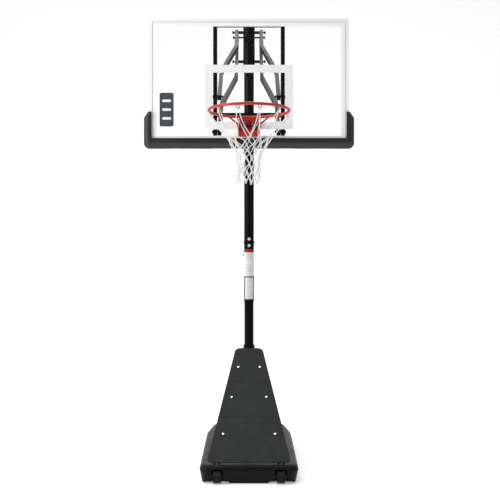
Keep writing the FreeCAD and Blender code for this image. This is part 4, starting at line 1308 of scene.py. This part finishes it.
@dataclass
class CordNet:
    """Twelve white cords, two strands to a hook, crossing in rows down to a narrow foot."""

    shop: FinishShop
    cord_radius: float = 0.0025
    hooks: int = 12
    # how far down the net each row of crossings hangs, as a share, and the net's radius there
    rows: tuple[tuple[float, float], ...] = ((0.33, 0.138), (0.435, 0.106), (0.53, 0.083), (0.62, 0.071),
                                             (0.71, 0.066), (0.80, 0.065), (0.89, 0.067), (0.975, 0.070))
    wander: float = 0.0075
    seed: int = 21

    def build(self) -> bpy.types.Object:
        """Build the cords and their knots as one piece.

        Returns:
            The net.
        """
        rng = random.Random(self.seed)
        low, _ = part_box("net")
        ring_low, ring_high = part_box("rim_ring")
        centre = Vector(((ring_low[0] + ring_high[0]) / 2, (ring_low[1] + ring_high[1]) / 2, 0))
        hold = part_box("net_hooks")[0][2] + 0.0052 + self.cord_radius
        ring = (ring_high[0] - ring_low[0]) / 2 - (ring_high[2] - ring_low[2]) / 2
        drop = hold - low[2]
        knots = [[self._knot(centre, rng, hold - drop * share, radius, level, k) for k in range(self.hooks)]
                 for level, (share, radius) in enumerate(self.rows, 1)]
        mesh = bmesh.new()
        for k in range(self.hooks):
            turn = math.tau * (k + 0.5) / self.hooks
            out = Vector((math.sin(turn), math.cos(turn), 0))
            along = Vector((math.cos(turn), -math.sin(turn), 0))
            hook = centre + out * ring + Vector((0, 0, hold))
            below = Vector((0, 0, 0.012))
            over = [hook - out * 0.0045 - along * 0.003 - below, hook - out * 0.0032 - along * 0.001,
                    hook + Vector((0, 0, 0.0004)), hook + out * 0.0032 + along * 0.001,
                    hook + out * 0.0020 + along * 0.005 - below]
            strands = [self._strand(knots, k, hand, hook, centre, rng) for hand in (-1, 1)]
            path = MeshKit.smooth_path(strands[0][::-1] + over + strands[1], 5)
            MeshKit.tube(mesh, path, self.cord_radius, 8)
        for level, row in enumerate(knots):
            for knot in row:
                self._tie(mesh, knot, centre, level == len(knots) - 1, rng)
        net = MeshKit.piece("net_cords", mesh, 60.0)
        self.shop.dress(net, self.shop.net_cord())
        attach(net, "rim")
        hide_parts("net")
        return net

    def _knot(self, centre: Vector, rng: random.Random, z: float, radius: float, level: int, k: int
              ) -> Vector:
        """Place one knot: every second row lies half a step round, and nothing hangs quite evenly.

        Args:
            centre: Middle of the net in plan.
            rng: Source of the unevenness.
            z: Height of the row.
            radius: The net's radius at the row.
            level: The row's number, from 1.
            k: The knot's number in its row.

        Returns:
            The knot's place.
        """
        sway = self.wander * (0.6 + 0.12 * level)
        turn = math.tau * (k + 0.5 + 0.5 * level) / self.hooks + rng.uniform(-0.11, 0.11)
        reach = radius + rng.uniform(-1.0, 1.0) * sway
        level_z = z + rng.uniform(-1.2, 1.2) * sway
        return centre + Vector((math.sin(turn) * reach, math.cos(turn) * reach, level_z))

    def _strand(self, knots: list[list[Vector]], k: int, hand: int, hook: Vector, centre: Vector,
                rng: random.Random) -> list[Vector]:
        """Points of one strand, from below its hook to the foot, passing a knot in every row.

        Args:
            knots: Knots by row.
            k: The hook's number.
            hand: 1 to go round one way, -1 the other way.
            hook: Where the cord lies over the hook.
            centre: Middle of the net in plan.
            rng: Source of the slack in each span.

        Returns:
            The points, with one of slack in each span.
        """
        way: list[Vector] = []
        last = hook - Vector((0, 0, 0.014))
        for level, row in enumerate(knots):
            knot = row[(k if hand > 0 else k - 1 - level) % self.hooks]
            out = Vector((knot.x - centre.x, knot.y - centre.y, 0)).normalized()
            point = knot + out * (self.cord_radius * 0.8 * hand)
            slack = Vector((rng.uniform(-1, 1), rng.uniform(-1, 1), -0.3)) * (0.010 if level == 0 else 0.0035)
            way += [last.lerp(point, 0.5) + slack, point]
            last = point
        return way

    def _tie(self, mesh: bmesh.types.BMesh, knot: Vector, centre: Vector, last: bool, rng: random.Random
             ) -> None:
        """Wrap a knot of one and a half turns round a crossing, with a short loop under the last row.

        Args:
            mesh: The bmesh that takes the knot.
            knot: The knot's place.
            centre: Middle of the net in plan.
            last: True in the last row.
            rng: Source of the loop's lean.
        """
        out = Vector((knot.x - centre.x, knot.y - centre.y, 0)).normalized()
        along = Vector((out.y, -out.x, 0))
        wrap = []
        for step in range(13):
            turn = math.tau * 1.5 * step / 12
            rise = (step / 12 - 0.5) * self.cord_radius * 2.4
            wrap.append(knot + (out * math.cos(turn) * 1.7 + along * math.sin(turn) * 1.35) * self.cord_radius
                        + Vector((0, 0, rise)))
        MeshKit.tube(mesh, wrap, self.cord_radius * 0.72, 6)
        if last:
            lean = along * rng.uniform(-0.003, 0.003)
            hang = lean * 0.5 - Vector((0, 0, 0.003))
            loop = [knot + along * 0.003, knot + along * 0.004 + hang, knot + lean - Vector((0, 0, 0.005)),
                    knot - along * 0.004 + hang, knot - along * 0.003]
            MeshKit.tube(mesh, MeshKit.smooth_path(loop, 4), self.cord_radius * 0.8, 6)


@dataclass
class RimSprings:
    """The two coil springs that push the rim back up."""

    shop: FinishShop
    wire: float = 0.0017
    turns: int = 7

    def build(self) -> bpy.types.Object:
        """Build both coils as one piece.

        Returns:
            The springs.
        """
        low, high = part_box("rim_springs")
        outside, middle = (high[1] - low[1]) / 2, (low[1] + high[1]) / 2
        radius = outside - self.wire
        mesh = bmesh.new()
        for side in (-1, 1):
            centre = Vector((side * (high[0] - outside), middle, low[2] + self.wire))
            path = []
            steps = self.turns * 20
            for step in range(steps + 1):
                share = step / steps
                rise = (high[2] - low[2] - 2 * self.wire) * min(max((share - 0.08) / 0.84, 0.0), 1.0)
                turn = math.tau * self.turns * share
                path.append(centre + Vector((radius * math.cos(turn), radius * math.sin(turn), rise)))
            MeshKit.tube(mesh, path, self.wire, 8)
        springs = MeshKit.piece("rim_coils", mesh, 60.0)
        self.shop.dress(springs, self.shop.grained(SPRING_STEEL))
        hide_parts("rim_springs")
        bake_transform(springs)
        return springs


# ---- stage ---------------------------------------------------------------------------------------

@dataclass
class Studio:
    """Camera, pale floor and soft lights."""

    eye: Point = (0.0, -5.97, 1.51)
    lens: float = 55.4
    shift: tuple[float, float] = (0.002, -0.010)

    def build(self) -> None:
        """Set up the whole studio."""
        self._camera()
        self._floor()
        self._world()
        self._light("key", (-4.4, -3.4, 3.4), (0.0, -0.8, 1.6), 2.6, 190.0)
        self._light("fill", (4.2, -4.4, 2.4), (0.0, -0.6, 1.2), 3.0, 18.0)
        self._light("top", (-0.6, 0.6, 6.2), (0.0, -0.4, 0.0), 3.4, 120.0)

    def _camera(self) -> None:
        """Place the camera, level, looking along +Y."""
        data = bpy.data.cameras.new("camera")
        data.lens = self.lens
        data.sensor_width = 36.0
        data.shift_x, data.shift_y = self.shift
        data.clip_end = 60.0
        camera = bpy.data.objects.new("camera", data)
        camera.location = self.eye
        camera.rotation_euler = (math.pi / 2, 0, 0)
        bpy.context.collection.objects.link(camera)
        bpy.context.scene.camera = camera

    def _floor(self) -> None:
        """A pale floor that curves up into a wall far behind."""
        mesh = bmesh.new()
        sweep = [(-9.0, 0.0), (5.0, 0.0)]
        for step in range(1, 9):
            turn = math.pi / 2 * step / 8
            sweep.append((5.0 + 2.0 * math.sin(turn), 2.0 * (1 - math.cos(turn))))
        sweep.append((7.0, 9.0))
        rows = [[mesh.verts.new((x, y, z)) for x in (-14.0, 14.0)] for y, z in sweep]
        for here, there in zip(rows, rows[1:]):
            mesh.faces.new((here[0], here[1], there[1], there[0]))
        floor = MeshKit.piece("studio_floor", mesh, 40.0)
        material = bpy.data.materials.new("floor_paper")
        material.use_nodes = True
        shader = material.node_tree.nodes["Principled BSDF"]
        shader.inputs["Base Color"].default_value = (0.93, 0.93, 0.93, 1.0)
        shader.inputs["Roughness"].default_value = 0.9
        shader.inputs["Specular IOR Level"].default_value = 0.0
        shader.inputs["Emission Color"].default_value = (1.0, 1.0, 1.0, 1.0)
        shader.inputs["Emission Strength"].default_value = 0.30
        floor.data.materials.append(material)

    def _world(self) -> None:
        """White surroundings: full behind the hoop, weaker on the court's side and to the right."""
        world = bpy.data.worlds.new("studio_air")
        world.use_nodes = True
        tree = world.node_tree
        back = tree.nodes["Background"]
        back.inputs["Color"].default_value = (1.0, 1.0, 1.0, 1.0)
        place = tree.nodes.new("ShaderNodeTexCoord")
        split = tree.nodes.new("ShaderNodeSeparateXYZ")
        tree.links.new(place.outputs["Generated"], split.inputs[0])
        shares = []
        for axis, low, high, start, end in (("Y", -0.7, 0.3, 0.42, 1.0), ("X", -1.0, 1.0, 1.25, 0.60)):
            share = tree.nodes.new("ShaderNodeMapRange")
            for name, number in (("From Min", low), ("From Max", high), ("To Min", start), ("To Max", end)):
                share.inputs[name].default_value = number
            tree.links.new(split.outputs[axis], share.inputs["Value"])
            shares.append(share.outputs["Result"])
        product = tree.nodes.new("ShaderNodeMath")
        product.operation = "MULTIPLY"
        tree.links.new(shares[0], product.inputs[0])
        tree.links.new(shares[1], product.inputs[1])
        tree.links.new(product.outputs[0], back.inputs["Strength"])
        bpy.context.scene.world = world
        bpy.context.scene.view_settings.view_transform = "Standard"

    def _light(self, name: str, place: Point, target: Point, size: float, power: float) -> None:
        """Add one soft area light that faces a target.

        Args:
            name: The light's name.
            place: Where it stands.
            target: The point that it faces.
            size: Side of its square.
            power: Its power in watts.
        """
        data = bpy.data.lights.new(name, "AREA")
        data.size = size
        data.energy = power
        lamp = bpy.data.objects.new(name, data)
        lamp.location = place
        lamp.rotation_euler = (Vector(target) - Vector(place)).to_track_quat("-Z", "Y").to_euler()
        bpy.context.collection.objects.link(lamp)


# ---- frame dressing ------------------------------------------------------------------------------

FRAME: dict = {}


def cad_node(name: str) -> bpy.types.Object:
    """The frame's object for a CAD node."""
    return FRAME["nodes"][name]


def dress_frame(shop: FinishShop) -> None:
    """Give every carried-over CAD node the finish of its slot.

    Args:
        shop: Where the finishes are mixed.
    """
    for entry in FRAME["record"]["subparts"]:
        node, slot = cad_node(entry["node"]), entry["material_slot"]
        if slot in SLOT_FINISHES:
            shop.dress(node, shop.grained(SLOT_FINISHES[slot]))
    low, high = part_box("label_sleeve")
    shop.dress(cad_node("label_sleeve"), shop.label_film(low[2], high[2]))
    shop.dress(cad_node("border_print"), shop.border_ink_and_painted_shadow(*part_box("border_print")))


def main() -> None:
    """Build the hoop's looks in order."""
    logging.basicConfig(level=logging.INFO, format="%(message)s")
    FRAME.update(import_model())
    shop = FinishShop()
    dress_frame(shop)
    Studio().build()
    built: list[bpy.types.Object] = []
    built += RollingTank(shop).build()
    built.append(SlopingCover(shop).build())
    built += BoardTrim(shop).build()
    built.append(CordNet(shop).build())
    built.append(RimSprings(shop).build())
    for piece in built:
        LOG.info("%s: %d faces", piece.name, len(piece.data.polygons))


if __name__ == "__main__":
    main()
